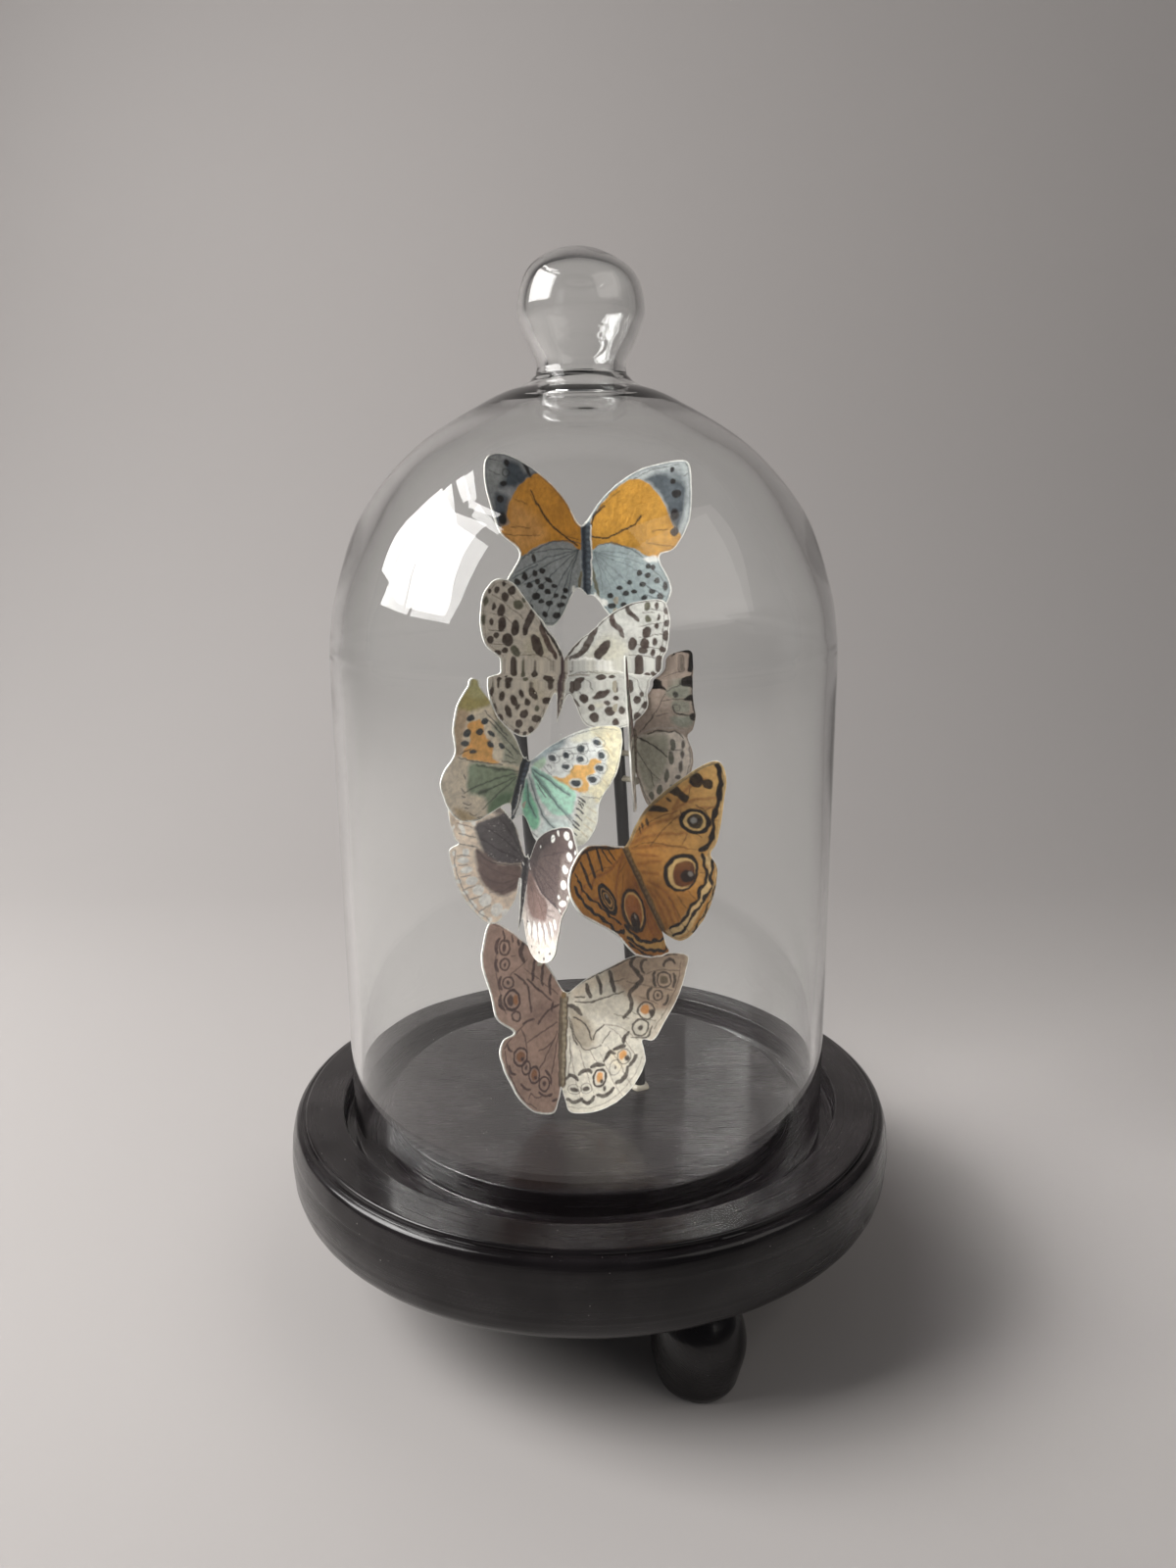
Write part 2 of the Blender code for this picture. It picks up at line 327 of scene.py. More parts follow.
def apply_modifiers(piece, sharp=40.0):
    """Swap the piece's mesh for what its modifiers make of it, and remove them."""
    bpy.context.view_layer.update()
    graph = bpy.context.evaluated_depsgraph_get()
    mesh = bpy.data.meshes.new_from_object(piece.evaluated_get(graph))
    piece.modifiers.clear()
    piece.data = mesh
    mesh.shade_smooth()
    mesh.set_sharp_from_angle(angle=math.radians(sharp))


def turned(name, profile, segments, material, centre=(0.0, 0.0), wobble=None, sharp=40.0):
    """Closed body from a profile of (radius, height) that starts and ends on the axis, top first."""
    verts = []
    rings = []
    for radius, height in profile:
        ring = []
        for segment in range(segments if radius > ON_AXIS else 1):
            angle = 2 * math.pi * segment / segments
            out, up = wobble(angle, radius, height) if wobble else (0.0, 0.0)
            reach = radius + out if radius > ON_AXIS else 0.0
            ring.append(len(verts))
            verts.append((centre[0] + reach * math.cos(angle), centre[1] + reach * math.sin(angle),
                          height + up))
        rings.append(ring)
    faces = []
    for upper, lower in zip(rings, rings[1:]):
        for segment in range(segments):
            after = (segment + 1) % segments
            corners = [upper[segment % len(upper)], lower[segment % len(lower)],
                       lower[after % len(lower)], upper[after % len(upper)]]
            faces.append(list(dict.fromkeys(corners)))
    return new_object(name, verts, faces, material, sharp=sharp)


def swept(name, route, section, sides, material):
    """Round body along a route of points; `section` gives the radius at a place and angle."""
    verts = []
    rings = []
    last = len(route) - 1
    for i, point in enumerate(route):
        ahead = Vector(route[min(i + 1, last)] - route[max(i - 1, 0)]).normalized()
        side = ahead.cross(Vector((0.0, 1.0, 0.0))).normalized()
        front = side.cross(ahead).normalized()
        ring = []
        for k in range(sides):
            angle = 2 * math.pi * k / sides
            reach = section(i / last, angle)
            ring.append(len(verts))
            verts.append(Vector(point) + (side * math.cos(angle) + front * math.sin(angle)) * reach)
        rings.append(ring)
    faces = []
    for lower, upper in zip(rings, rings[1:]):
        for k in range(sides):
            after = (k + 1) % sides
            faces.append((lower[k], upper[k], upper[after], lower[after]))
    for ring, end, turn in ((rings[0], route[0], 1), (rings[-1], route[-1], -1)):
        centre = len(verts)
        verts.append(Vector(end))
        for k in range(sides):
            pair = (ring[k], ring[(k + 1) % sides])
            faces.append((centre, *pair[::turn]))
    item = new_object(name, verts, faces, material)
    tidy_normals(item)
    return item


def tidy_normals(item):
    """Turn every face outward."""
    builder = bmesh.new()
    builder.from_mesh(item.data)
    bmesh.ops.recalc_face_normals(builder, faces=builder.faces)
    builder.to_mesh(item.data)
    builder.free()


def ripple(x, y, z, size, seed=0.0):
    """Smooth random value near -1 to 1, with one bump about every `size` metres."""
    return noise.noise(Vector((x / size + seed, y / size, z / size)))


# ---------------------------------------------------------------------------------------------
# Materials
# ---------------------------------------------------------------------------------------------

def paint_finish(name, shade, plateau=None):
    """Gloss paint brushed on turned wood: strokes run round the axis, and along the plateau."""
    make = Finish(name)
    axes = make.make("ShaderNodeSeparateXYZ", None, {0: make.place})
    x, y, z = (Wire(make, axes.socket.node.outputs[i]) for i in range(3))
    reach = make.make("ShaderNodeMath", {"operation": "SQRT"}, {0: x * x + y * y + 1e-8})
    around = make.make("ShaderNodeCombineXYZ", None, {0: x / reach * 2.2, 1: y / reach * 2.2,
                                                       2: (reach + z * 1.3) * 1500.0})
    strokes = make.noise(around, 1.0, 4.0, 0.6)
    broad = make.make("ShaderNodeCombineXYZ", None, {0: x / reach * 3.0, 1: y / reach * 3.0,
                                                     2: (reach + z) * 260.0})
    ropes = make.noise(broad, 1.0, 2.0, 0.5)
    if plateau:
        inside = 1.0 - make.step(reach, plateau - 0.0006, plateau - 0.0002)
        grain_place = make.make("ShaderNodeMapping", None, {0: make.place, "Scale": (90.0, 1700.0, 90.0)})
        grain = make.noise(grain_place, 1.0, 3.0, 0.6)
        brush_place = make.make("ShaderNodeMapping", None, {
            0: make.place, "Rotation": (0.0, 0.0, math.radians(28.0)), "Scale": (120.0, 1500.0, 100.0)})
        brush = make.noise(brush_place, 1.0, 4.0, 0.65)
        brushed = make.step(make.noise(make.place, 45.0, 1.0), 0.42, 0.62)
        flat = grain * (1.0 - brushed) + brush * brushed
        strokes = strokes * (1.0 - inside) + flat * inside
        ropes = ropes * (1.0 - inside) + 0.5 * inside
    fine = make.noise(make.place, 2600.0, 2.0)
    pits = make.make("ShaderNodeTexVoronoi", {"feature": "DISTANCE_TO_EDGE"},
                     {"Vector": make.place, "Scale": 240.0})
    crack = 1.0 - make.step(pits, 0.0, 0.02)
    speck = make.make("ShaderNodeTexVoronoi", None, {"Vector": make.place, "Scale": 520.0})
    dust = 1.0 - make.step(speck, 0.045, 0.075)
    dust = dust * make.step(make.noise(make.place, 130.0, 1.0), 0.52, 0.62)
    cloud = make.noise(make.place, 60.0, 3.0)
    deep = make.blend(make.step(cloud, 0.3, 0.7), shade, [part * 1.9 + 0.002 for part in shade])
    worn = make.blend(dust * 0.75, deep, (0.30, 0.28, 0.26))
    height = strokes * 0.55 + ropes * 0.9 + fine * 0.02 + dust * 0.8 - crack * 0.03
    relief = make.bump(height, 0.00011, 0.65)
    make.surface({
        "Base Color": worn,
        "Roughness": make.step(strokes * 0.6 + cloud * 0.4, 0.3, 0.7, 0.16, 0.34) + dust * 0.4,
        "Specular IOR Level": 0.30,
        "Coat Weight": make.step(cloud, 0.35, 0.65, 0.20, 0.46),
        "Coat Roughness": 0.07,
        "Coat IOR": 1.45,
        "Normal": relief,
    })
    return make.material


def glass_finish(settings):
    """Clear glass with slow waves in its surface and a few tiny bubbles."""
    make = Finish("clear_glass")
    drift = make.noise(make.place, 45.0, 2.0)
    seeds = make.make("ShaderNodeTexVoronoi", None, {"Vector": make.place, "Scale": 95.0})
    seed = 1.0 - make.step(seeds, 0.012, 0.022)
    make.surface({
        "Base Color": (*settings.tint, 1.0),
        "Roughness": 0.0,
        "IOR": settings.ior,
        "Transmission Weight": 1.0,
        "Normal": make.bump(drift + seed * 0.5, 0.00004, 0.6),
    })
    return make.material


def rod_finish(settings):
    """Black paint on thin rods, with grain along them."""
    make = Finish("black_rod")
    along = make.make("ShaderNodeMapping", None, {0: make.place, "Scale": (1400.0, 1400.0, 90.0)})
    grain = make.noise(along, 1.0, 4.0, 0.6)
    lumps = make.noise(make.place, 420.0, 2.0)
    shade = make.blend(make.step(grain, 0.35, 0.75), settings.black,
                       [part * 2.6 for part in settings.black])
    make.surface({
        "Base Color": shade,
        "Roughness": make.step(lumps, 0.3, 0.7, 0.34, 0.58),
        "Coat Weight": 0.2,
        "Coat Roughness": 0.3,
        "Normal": make.bump(grain * 0.6 + lumps, 0.0001, 0.8),
    })
    return make.material


def glue_finish(settings):
    """Dried yellowish glue."""
    make = Finish("dried_glue")
    milk = make.noise(make.place, 900.0, 3.0)
    shade = make.blend(make.step(milk, 0.3, 0.7), settings.glue, [part * 0.6 for part in settings.glue])
    make.surface({
        "Base Color": shade,
        "Roughness": make.step(milk, 0.3, 0.7, 0.18, 0.42),
        "Coat Weight": 0.3,
        "Normal": make.bump(milk, 0.0001, 0.6),
    })
    return make.material


def dust_finish():
    """Grey specks, each a little lighter or darker."""
    make = Finish("dust")
    tone = make.noise(make.place, 1500.0, 1.0)
    make.surface({
        "Base Color": make.blend(tone, (0.75, 0.72, 0.68), (0.35, 0.32, 0.30)),
        "Roughness": 0.8,
    })
    return make.material


# How much of the print shows through to the back of the paper
SHOW_THROUGH = 0.10


def paper_finish(name, white, printed):
    """Watercolour paper. The printed face reads its colours from the sheet's own attribute."""
    make = Finish(name)
    tooth = make.noise(make.place, 1150.0, 2.5, 0.55)
    fibre_place = make.make("ShaderNodeMapping", None, {0: make.place, "Scale": (900.0, 900.0, 2600.0)})
    fibre = make.noise(fibre_place, 1.0, 3.0, 0.6)
    cloud = make.noise(make.place, 320.0, 2.0)
    printing = make.make("ShaderNodeAttribute", {"attribute_name": "print"})
    if printed:
        ground = printing
        dark, light, height = 0.80, 1.12, 0.22 * MM
    else:
        ground = make.blend(SHOW_THROUGH, white, printing)
        dark, light, height = 0.93, 1.03, 0.09 * MM
    grain = make.step(tooth * 0.65 + cloud * 0.35, 0.32, 0.68, dark, light)
    tone = make.make("ShaderNodeCombineColor", None, {0: grain, 1: grain, 2: grain})
    make.surface({
        "Base Color": make.blend(1.0, ground, tone, "MULTIPLY"),
        "Roughness": make.step(fibre, 0.3, 0.7, 0.62, 0.80),
        "Specular IOR Level": 0.12,
        "Normal": make.bump(tooth + fibre * 0.35, height, 0.75),
    })
    return make.material


def stage_finish(settings):
    """Plain matte floor, a shade darker in places."""
    make = Finish("studio_floor")
    cloud = make.noise(make.place, 6.0, 3.0)
    shade = make.blend(cloud, [part * 0.97 for part in settings.floor], settings.floor)
    make.surface({"Base Color": shade, "Roughness": 0.85, "Specular IOR Level": 0.2})
    return make.material


# ---------------------------------------------------------------------------------------------
# Base, feet and dust
# ---------------------------------------------------------------------------------------------

# Outline of the rounded side of the base: distance out from its widest radius, and height from the
# rim, in millimetres
BULLNOSE = [(-2.15, -0.85), (-1.15, -1.7), (-0.4, -4.5), (0.0, -8.5), (-0.4, -12.5), (-1.7, -15.9),
            (-6.0, -19.0)]

# Outline of a foot: radius and height as shares of its widest radius and of its height
FOOT_SIDE = [(0.66, 0.0), (0.80, 0.06), (0.88, 0.18), (1.0, 0.47), (0.91, 0.74), (0.69, 0.93), (0.66, 1.0)]


def base_profile(settings):
    """The turned outline in metres, from the middle of the top round to the middle of the underside.

    Heights are from the rim, and each cut edge is eased by a small round.
    """
    ease = 0.5 * MM
    plateau, groove, crease = settings.plateau, settings.groove, settings.crease
    floor = -settings.depth
    profile = stretch((0.0, 0.0), (plateau - ease, 0.0), 24)
    profile += arc((plateau - ease, -ease), ease, 90.0, 0.0, 5)
    profile += stretch((plateau, -ease * 1.2), (plateau, floor + ease), 8)
    profile += arc((plateau + ease, floor + ease), ease, 180.0, 270.0, 3)
    profile += stretch((plateau + ease * 1.3, floor), (groove - ease, floor), 8)
    profile += arc((groove - ease, floor + ease), ease, 270.0, 360.0, 3)
    profile += stretch((groove, floor + ease * 1.2), (groove, -ease), 8)
    profile += arc((groove + ease, -ease), ease, 180.0, 90.0, 5)
    profile += stretch((groove + ease * 1.3, 0.0), (crease - ease, 0.0), 12)
    profile += arc((crease - ease, -ease), ease, 90.0, 10.0, 5)
    profile += [(crease + 0.12 * MM, -0.95 * MM), (crease + 0.32 * MM, -1.05 * MM)]
    side = [(BASE_RADIUS + out * MM, down * MM) for out, down in BULLNOSE]
    profile += [tuple(point) for point in smooth_line(side, 9)]
    profile += stretch((BASE_RADIUS - 6.5 * MM, -BASE_HEIGHT), (0.0, -BASE_HEIGHT), 6)
    return profile + [(0.0, -BASE_HEIGHT)]


class BUTTERFLYDOME_OT_base(bpy.types.Operator):
    """Make the turned base, painted black, with its plateau, groove and rounded side"""
    bl_idname = "butterflydome.base"
    bl_label = "Base"

    def execute(self, context):
        settings = context.scene.dome_base
        paint = paint_finish("black_paint", settings.paint, settings.plateau)

        def wobble(angle, radius, height):
            x, y = math.cos(angle) * radius, math.sin(angle) * radius
            amount = settings.unevenness
            long_wave = ripple(x, y, height, 0.022)
            short_wave = ripple(x, y, height, 0.0045, 7.0)
            side = min(max((radius - settings.crease) / (1.2 * MM), 0.0), 1.0)
            out = amount * (0.5 * long_wave + (0.25 + 0.55 * side) * short_wave)
            up = amount * (0.35 * long_wave + 0.2 * short_wave)
            if radius >= BASE_RADIUS - 0.3 * MM:
                out -= amount
            return out, min(up, 0.0) if height > -0.1 * MM else up * 0.4

        profile = [(radius, height + RIM) for radius, height in base_profile(settings)]
        raised = lambda angle, radius, height: wobble(angle, radius, height - RIM)
        base = turned("turned_base", profile, 288, paint, wobble=raised, sharp=50.0)
        finish_piece(base, "black_paint", "base")
        return {"FINISHED"}


def feet_tree(paint):
    """Stands copies of one foot on a circle."""
    tree = bpy.data.node_groups.new("Feet On Circle", "GeometryNodeTree")
    ports = tree.interface
    ports.new_socket("Foot", in_out="INPUT", socket_type="NodeSocketGeometry")
    for name, kind in (("Count", "NodeSocketInt"), ("Circle Radius", "NodeSocketFloat"),
                       ("First Angle", "NodeSocketFloat")):
        ports.new_socket(name, in_out="INPUT", socket_type=kind)
    ports.new_socket("Geometry", in_out="OUTPUT", socket_type="NodeSocketGeometry")
    graph = Graph(tree)
    source = graph.make("NodeGroupInput")
    foot, count, circle, first = (Wire(graph, source.socket.node.outputs[i]) for i in range(4))
    ring = graph.make("GeometryNodeMeshCircle", None, {"Vertices": count, "Radius": circle})
    turn = graph.make("ShaderNodeCombineXYZ", None, {"Z": first})
    placed = graph.make("GeometryNodeTransform", None, {"Geometry": ring, "Rotation": turn})
    number = graph.make("GeometryNodeInputIndex")
    spin = graph.make("ShaderNodeCombineXYZ", None, {"Z": number * 1.9})
    copies = graph.make("GeometryNodeInstanceOnPoints", None,
                        {"Points": placed, "Instance": foot, "Rotation": spin})
    solid = graph.make("GeometryNodeRealizeInstances", None, {0: copies})
    painted = graph.make("GeometryNodeSetMaterial", None, {"Geometry": solid, "Material": paint})
    graph.make("NodeGroupOutput", None, {0: painted})
    return tree


def set_inputs(modifier, values):
    """Give values by name to the inputs of a geometry nodes modifier."""
    for socket in modifier.node_group.interface.items_tree:
        if socket.in_out == "INPUT" and socket.name in values:
            modifier[socket.identifier] = values[socket.name]


class BUTTERFLYDOME_OT_feet(bpy.types.Operator):
    """Make the round feet under the base"""
    bl_idname = "butterflydome.feet"
    bl_label = "Feet"

    def execute(self, context):
        settings = context.scene.dome_feet
        paint = paint_finish("black_paint_feet", context.scene.dome_base.paint)
        side = [(radius * settings.radius, height * FOOT_TOP) for radius, height in FOOT_SIDE]
        outline = [tuple(point) for point in smooth_line(side, 6)]
        profile = [(0.0, FOOT_TOP)] + outline[::-1] + [(0.0, 0.0)]

        def wobble(angle, radius, height):
            x, y = math.cos(angle) * radius, math.sin(angle) * radius
            out = 0.10 * MM * ripple(x, y, height, 0.006) - 0.08 * MM
            return (out if 0.0 < height < FOOT_TOP else 0.0), 0.0

        feet = turned("feet", profile, 72, paint, wobble=wobble)
        modifier = feet.modifiers.new("Feet", "NODES")
        modifier.node_group = feet_tree(paint)
        set_inputs(modifier, {"Count": settings.count, "Circle Radius": settings.circle,
                              "First Angle": settings.first})
        apply_modifiers(feet)
        finish_piece(feet, "black_paint", *("foot_%d" % (i + 1) for i in range(settings.count)))
        return {"FINISHED"}


def dust_tree(material):
    """Scatters small flat flakes over the upward faces of a mesh and drops the mesh itself."""
    tree = bpy.data.node_groups.new("Dust Specks", "GeometryNodeTree")
    ports = tree.interface
    ports.new_socket("Surface", in_out="INPUT", socket_type="NodeSocketGeometry")
    ports.new_socket("Density", in_out="INPUT", socket_type="NodeSocketFloat")
    ports.new_socket("Speck Size", in_out="INPUT", socket_type="NodeSocketFloat")
    ports.new_socket("Geometry", in_out="OUTPUT", socket_type="NodeSocketGeometry")
    graph = Graph(tree)
    source = graph.make("NodeGroupInput")
    surface, density, size = (Wire(graph, source.socket.node.outputs[i]) for i in range(3))
    normal = graph.make("GeometryNodeInputNormal")
    parts = graph.make("ShaderNodeSeparateXYZ", None, {0: normal}, 2)
    upward = graph.make("FunctionNodeCompare", {"operation": "GREATER_THAN"}, {0: parts, 1: 0.25})
    spread = graph.make("GeometryNodeDistributePointsOnFaces", None,
                        {"Mesh": surface, "Selection": upward, "Density": density, "Seed": 11})
    flake = graph.make("GeometryNodeMeshIcoSphere", None, {"Radius": size, "Subdivisions": 1})
    flat = graph.make("GeometryNodeTransform", None, {"Geometry": flake, "Scale": (1.0, 0.7, 0.45)})
    turn = graph.make("FunctionNodeRandomValue", {"data_type": "FLOAT_VECTOR"},
                      {0: (0.0, 0.0, 0.0), 1: (0.5, 0.5, 6.28), "Seed": 5})
    scale = graph.make("FunctionNodeRandomValue", {"data_type": "FLOAT"}, {2: 0.35, 3: 1.3, "Seed": 9}, 1)
    copies = graph.make("GeometryNodeInstanceOnPoints", None,
                        {"Points": spread, "Instance": flat, "Rotation": turn, "Scale": scale})
    solid = graph.make("GeometryNodeRealizeInstances", None, {0: copies})
    dusty = graph.make("GeometryNodeSetMaterial", None, {"Geometry": solid, "Material": material})
    graph.make("NodeGroupOutput", None, {0: dusty})
    return tree


class BUTTERFLYDOME_OT_dust(bpy.types.Operator):
    """Scatter a few dust specks over the top of the base"""
    bl_idname = "butterflydome.dust"
    bl_label = "Dust specks"

    def execute(self, context):
        settings = context.scene.dome_base
        material = dust_finish()
        specks = bpy.data.objects["turned_base"].copy()
        specks.name = "dust_specks"
        specks.data = specks.data.copy()
        context.scene.collection.objects.link(specks)
        modifier = specks.modifiers.new("Dust", "NODES")
        modifier.node_group = dust_tree(material)
        set_inputs(modifier, {"Density": float(settings.specks), "Speck Size": 0.09 * MM})
        apply_modifiers(specks)
        specks.data.name = "dust_specks"
        finish_piece(specks, "black_paint")
        return {"FINISHED"}


# ---------------------------------------------------------------------------------------------
# Glass dome
# ---------------------------------------------------------------------------------------------

# Corner points of the round part of the dome: radius and height above the rim, in millimetres
OUTER_GLASS = [(50.0, 80.0), (50.0, 86.5), (50.0, 92.0), (49.9, 95.4), (49.6, 98.8), (48.1, 107.0),
               (42.8, 121.0), (32.0, 133.5), (18.0, 142.2), (10.5, 145.3), (8.5, 148.6), (11.0, 154.6),
               (12.0, 159.5), (9.2, 166.3), (0.0, 169.8)]
INNER_GLASS = [(48.0, 79.0), (48.0, 85.0), (48.0, 90.5), (47.9, 93.9), (47.6, 97.3), (45.9, 106.2),
               (40.2, 119.2), (30.2, 131.2), (17.0, 139.2), (8.4, 142.2), (6.3, 148.4), (9.1, 154.8),
               (10.4, 159.3), (8.1, 165.3), (0.0, 168.3)]

# Heights above the rim of the folded neck and of the knob's slanting crown, in millimetres
NECK_HEIGHT = 145.0
KNOB_HEIGHT = 163.0
FOLD_SPACING = 1.25


def glass_profile(settings):
    """Down the outside from the top of the knob, round the rim, and up the inside."""
    outer = [(radius * MM, height * MM) for radius, height in smooth_line(OUTER_GLASS, 9, True)]
    inner = [(radius * MM, height * MM) for radius, height in smooth_line(INNER_GLASS, 9, True)]
    outer_radius = outer[0][0]
    inner_radius = outer_radius - settings.wall
    bead = settings.wall / 2
    middle = (outer_radius - bead, GLASS_BOTTOM + bead)
    wall_rings = 54
    down = stretch(outer[0], (outer_radius, middle[1]), wall_rings)[1:]
    up = stretch((inner_radius, middle[1]), inner[0], wall_rings)[1:]
    lip = arc(middle, bead, 0.0, -180.0, 8)
    return outer[::-1] + down + lip + up + inner


def glass_wobble(settings):
    """Blown glass: slow waves in the wall, fine folds round the neck and a slanting knob top."""
    def wobble(angle, radius, height):
        x, y = math.cos(angle) * 0.05, math.sin(angle) * 0.05
        inner = 1.7 if radius < GLASS_RADIUS - settings.wall / 2 else 0.0
        out = settings.waviness * ripple(x, y, height, 0.030, inner * 3.1)
        if radius > GLASS_RADIUS - 0.5 * MM:
            out = min(out, 0.0)
        neck = (height / MM - NECK_HEIGHT) / 2.6
        fold = math.exp(-neck * neck) * math.sin(height / MM * 2 * math.pi / FOLD_SPACING + inner)
        broken = 0.6 + 0.4 * math.sin(angle * 2.0 + 0.6)
        out += settings.ridge * fold * broken
        crown = min(max((height / MM - KNOB_HEIGHT) / 5.0, 0.0), 1.0)
        slant = -0.045 * crown * radius * math.cos(angle) if inner else -0.012 * crown * radius
        return out * min(radius / (6.0 * MM), 1.0), slant - 0.1 * MM * crown
    return wobble


class BUTTERFLYDOME_OT_glass(bpy.types.Operator):
    """Blow the glass dome with its hollow ball knob"""
    bl_idname = "butterflydome.glass"
    bl_label = "Glass dome"

    def execute(self, context):
        settings = context.scene.dome_glass
        profile = [(radius, height + RIM) for radius, height in glass_profile(settings)]
        stray = glass_wobble(settings)
        wobble = lambda angle, radius, height: stray(angle, radius, height - RIM)
        dome = turned("blown_dome", profile, 224, glass_finish(settings), (GLASS_X, 0.0), wobble, 80.0)
        dome.visible_shadow = False
        finish_piece(dome, "clear_glass", "glass_dome")
        return {"FINISHED"}


# ---------------------------------------------------------------------------------------------
# Rods and glue
# ---------------------------------------------------------------------------------------------

# Centre lines of the rods: x, y, height above the rim, in millimetres
ROD_Y = -1.5
RODS = {
    "rod_left": [(-8.8, ROD_Y, 0.3), (-10.2, ROD_Y, 27.0), (-11.9, ROD_Y, 56.0), (-13.9, ROD_Y, 84.0)],
    "rod_right": [(11.0, ROD_Y, 0.3), (8.8, ROD_Y, 31.0), (8.1, -4.6, 46.0), (7.4, -5.0, 57.0),
                  (6.1, -4.9, 82.0), (6.1, -1.7, 94.0), (6.3, 1.0, 106.5)],
}

# What the glue joins: butterfly, rod, height above the rim, sideways place on the butterfly (None
# for straight in front of the rod), all in millimetres
HOLDS = [
    ("butterfly_1", "rod_right", 103.0, None), ("butterfly_1", "rod_right", 105.2, None),
    ("butterfly_2", "rod_right", 84.0, None), ("butterfly_2", "rod_right", 88.0, None),
    ("butterfly_3", "rod_right", 74.0, 0.4), ("butterfly_3", "rod_right", 70.0, 0.4),
    ("butterfly_4", "rod_left", 64.0, None), ("butterfly_4", "rod_left", 68.0, None),
    ("butterfly_5", "rod_left", 43.0, -0.4), ("butterfly_5", "rod_left", 47.0, -0.4),
    ("butterfly_6", "rod_right", 46.0, 0.4), ("butterfly_6", "rod_right", 50.0, 0.4),
    ("butterfly_7", "rod_left", 28.0, None),
]


# Widest radius of a dab of glue
GLUE_RADIUS = 0.85 * MM


def rod_route(name, steps=16):
    """Points along a rod's centre line, in metres."""
    return [Vector(point) * MM + Vector((0.0, 0.0, RIM)) for point in smooth_line(RODS[name], steps)]


class BUTTERFLYDOME_OT_rods(bpy.types.Operator):
    """Make the two thin black rods that carry the butterflies"""
    bl_idname = "butterflydome.rods"
    bl_label = "Rods"

    def execute(self, context):
        settings = context.scene.dome_rods
        material = rod_finish(settings)
        for seed, name in enumerate(RODS):
            route = rod_route(name)

            def section(along, angle):
                x, y = math.cos(angle) * 0.002, math.sin(angle) * 0.002
                lump = ripple(x, y, along * 0.1, 0.004, seed * 5.0)
                end = min(along, 1.0 - along) * len(route) * 1.2
                return settings.radius * (0.97 + 0.06 * lump) * min(0.8 + 0.2 * end, 1.0)

            rod = swept("black_" + name, route, section, 28, material)
            finish_piece(rod, "black_rod", name)
        return {"FINISHED"}


def close_rings(builder, rings):
    """Join rings of points into one closed skin."""
    sides = len(rings[0])
    for lower, upper in zip(rings, rings[1:]):
        for k in range(sides):
            after = (k + 1) % sides
            builder.faces.new((lower[k], lower[after], upper[after], upper[k]))
    builder.faces.new(rings[0][::-1])
    builder.faces.new(rings[-1])


def glue_blob(builder, start, end, thick, seed):
    """A dab of glue between two points: wide at both ends, narrower between them."""
    axis = end - start
    side = axis.orthogonal().normalized()
    other = axis.normalized().cross(side)
    rows, sides = 9, 14
    rings = []
    for row in range(rows):
        t = row / (rows - 1)
        waist = thick * (0.62 + 0.38 * (2 * t - 1) ** 2)
        ring = []
        for k in range(sides):
            angle = 2 * math.pi * k / sides
            place = side * math.cos(angle) + other * math.sin(angle)
            rough = 1.0 + 0.22 * noise.noise(place * 1.3 + Vector((seed * 3.7, t * 2.0, 0.0)))
            ring.append(builder.verts.new(start + axis * t + place * waist * rough))
        rings.append(ring)
    close_rings(builder, rings)


def glue_collar(builder, centre, radius, seed):
    """A low uneven ring of glue round the foot of a rod."""
    rows, sides = 6, 36
    rings = []
    for row in range(rows):
        slope = math.radians(90.0 * row / (rows - 1))
        ring = []
        for k in range(sides):
            angle = 2 * math.pi * k / sides
            spread = 0.75 + 0.5 * noise.noise(Vector((math.cos(angle), math.sin(angle), seed * 4.1)))
            reach = radius * 0.8 + radius * 0.9 * spread * math.cos(slope)
            height = radius * 0.75 * math.sin(slope)
            offset = Vector((reach * math.cos(angle), reach * math.sin(angle), height))
            ring.append(builder.verts.new(centre + offset))
        rings.append(ring)
    close_rings(builder, rings)


class BUTTERFLYDOME_OT_glue(bpy.types.Operator):
    """Add the dried glue round the rods' feet and behind the butterflies"""
    bl_idname = "butterflydome.glue"
    bl_label = "Glue"

    def execute(self, context):
        settings = context.scene.dome_rods
        material = glue_finish(settings)
        builder = bmesh.new()
        sunk = Vector((0.0, 0.0, 0.28 * MM))
        for seed, name in enumerate(RODS):
            glue_collar(builder, rod_route(name)[0] - sunk, settings.radius, seed)
        for seed, (name, rod, height, sideways) in enumerate(HOLDS):
            route = rod_route(rod)
            on_rod = min(route, key=lambda point: abs(point.z - RIM - height * MM))
            spec = BUTTERFLIES[name]
            inside = placement(spec).inverted() @ on_rod
            fold = math.radians(spec["folds"][0 if inside.x < 0.0 else 1])
            if sideways is None:
                target = Vector((inside.x, -abs(inside.x) * math.tan(fold), inside.z))
            else:
                target = Vector((sideways * MM, 0.0, inside.z))
            on_paper = placement(spec) @ target
            glue_blob(builder, on_rod, on_paper, GLUE_RADIUS, seed)
        mesh = bpy.data.meshes.new("glue_dabs")
        builder.to_mesh(mesh)
        builder.free()
        mesh.materials.append(material)
        mesh.shade_smooth()
        mesh.set_sharp_from_angle(angle=math.radians(60.0))
        glue = bpy.data.objects.new("glue_dabs", mesh)
        context.scene.collection.objects.link(glue)
        finish_piece(glue, "clear_glass")
        return {"FINISHED"}


# ---------------------------------------------------------------------------------------------
# Butterflies: the cut sheets
# ---------------------------------------------------------------------------------------------

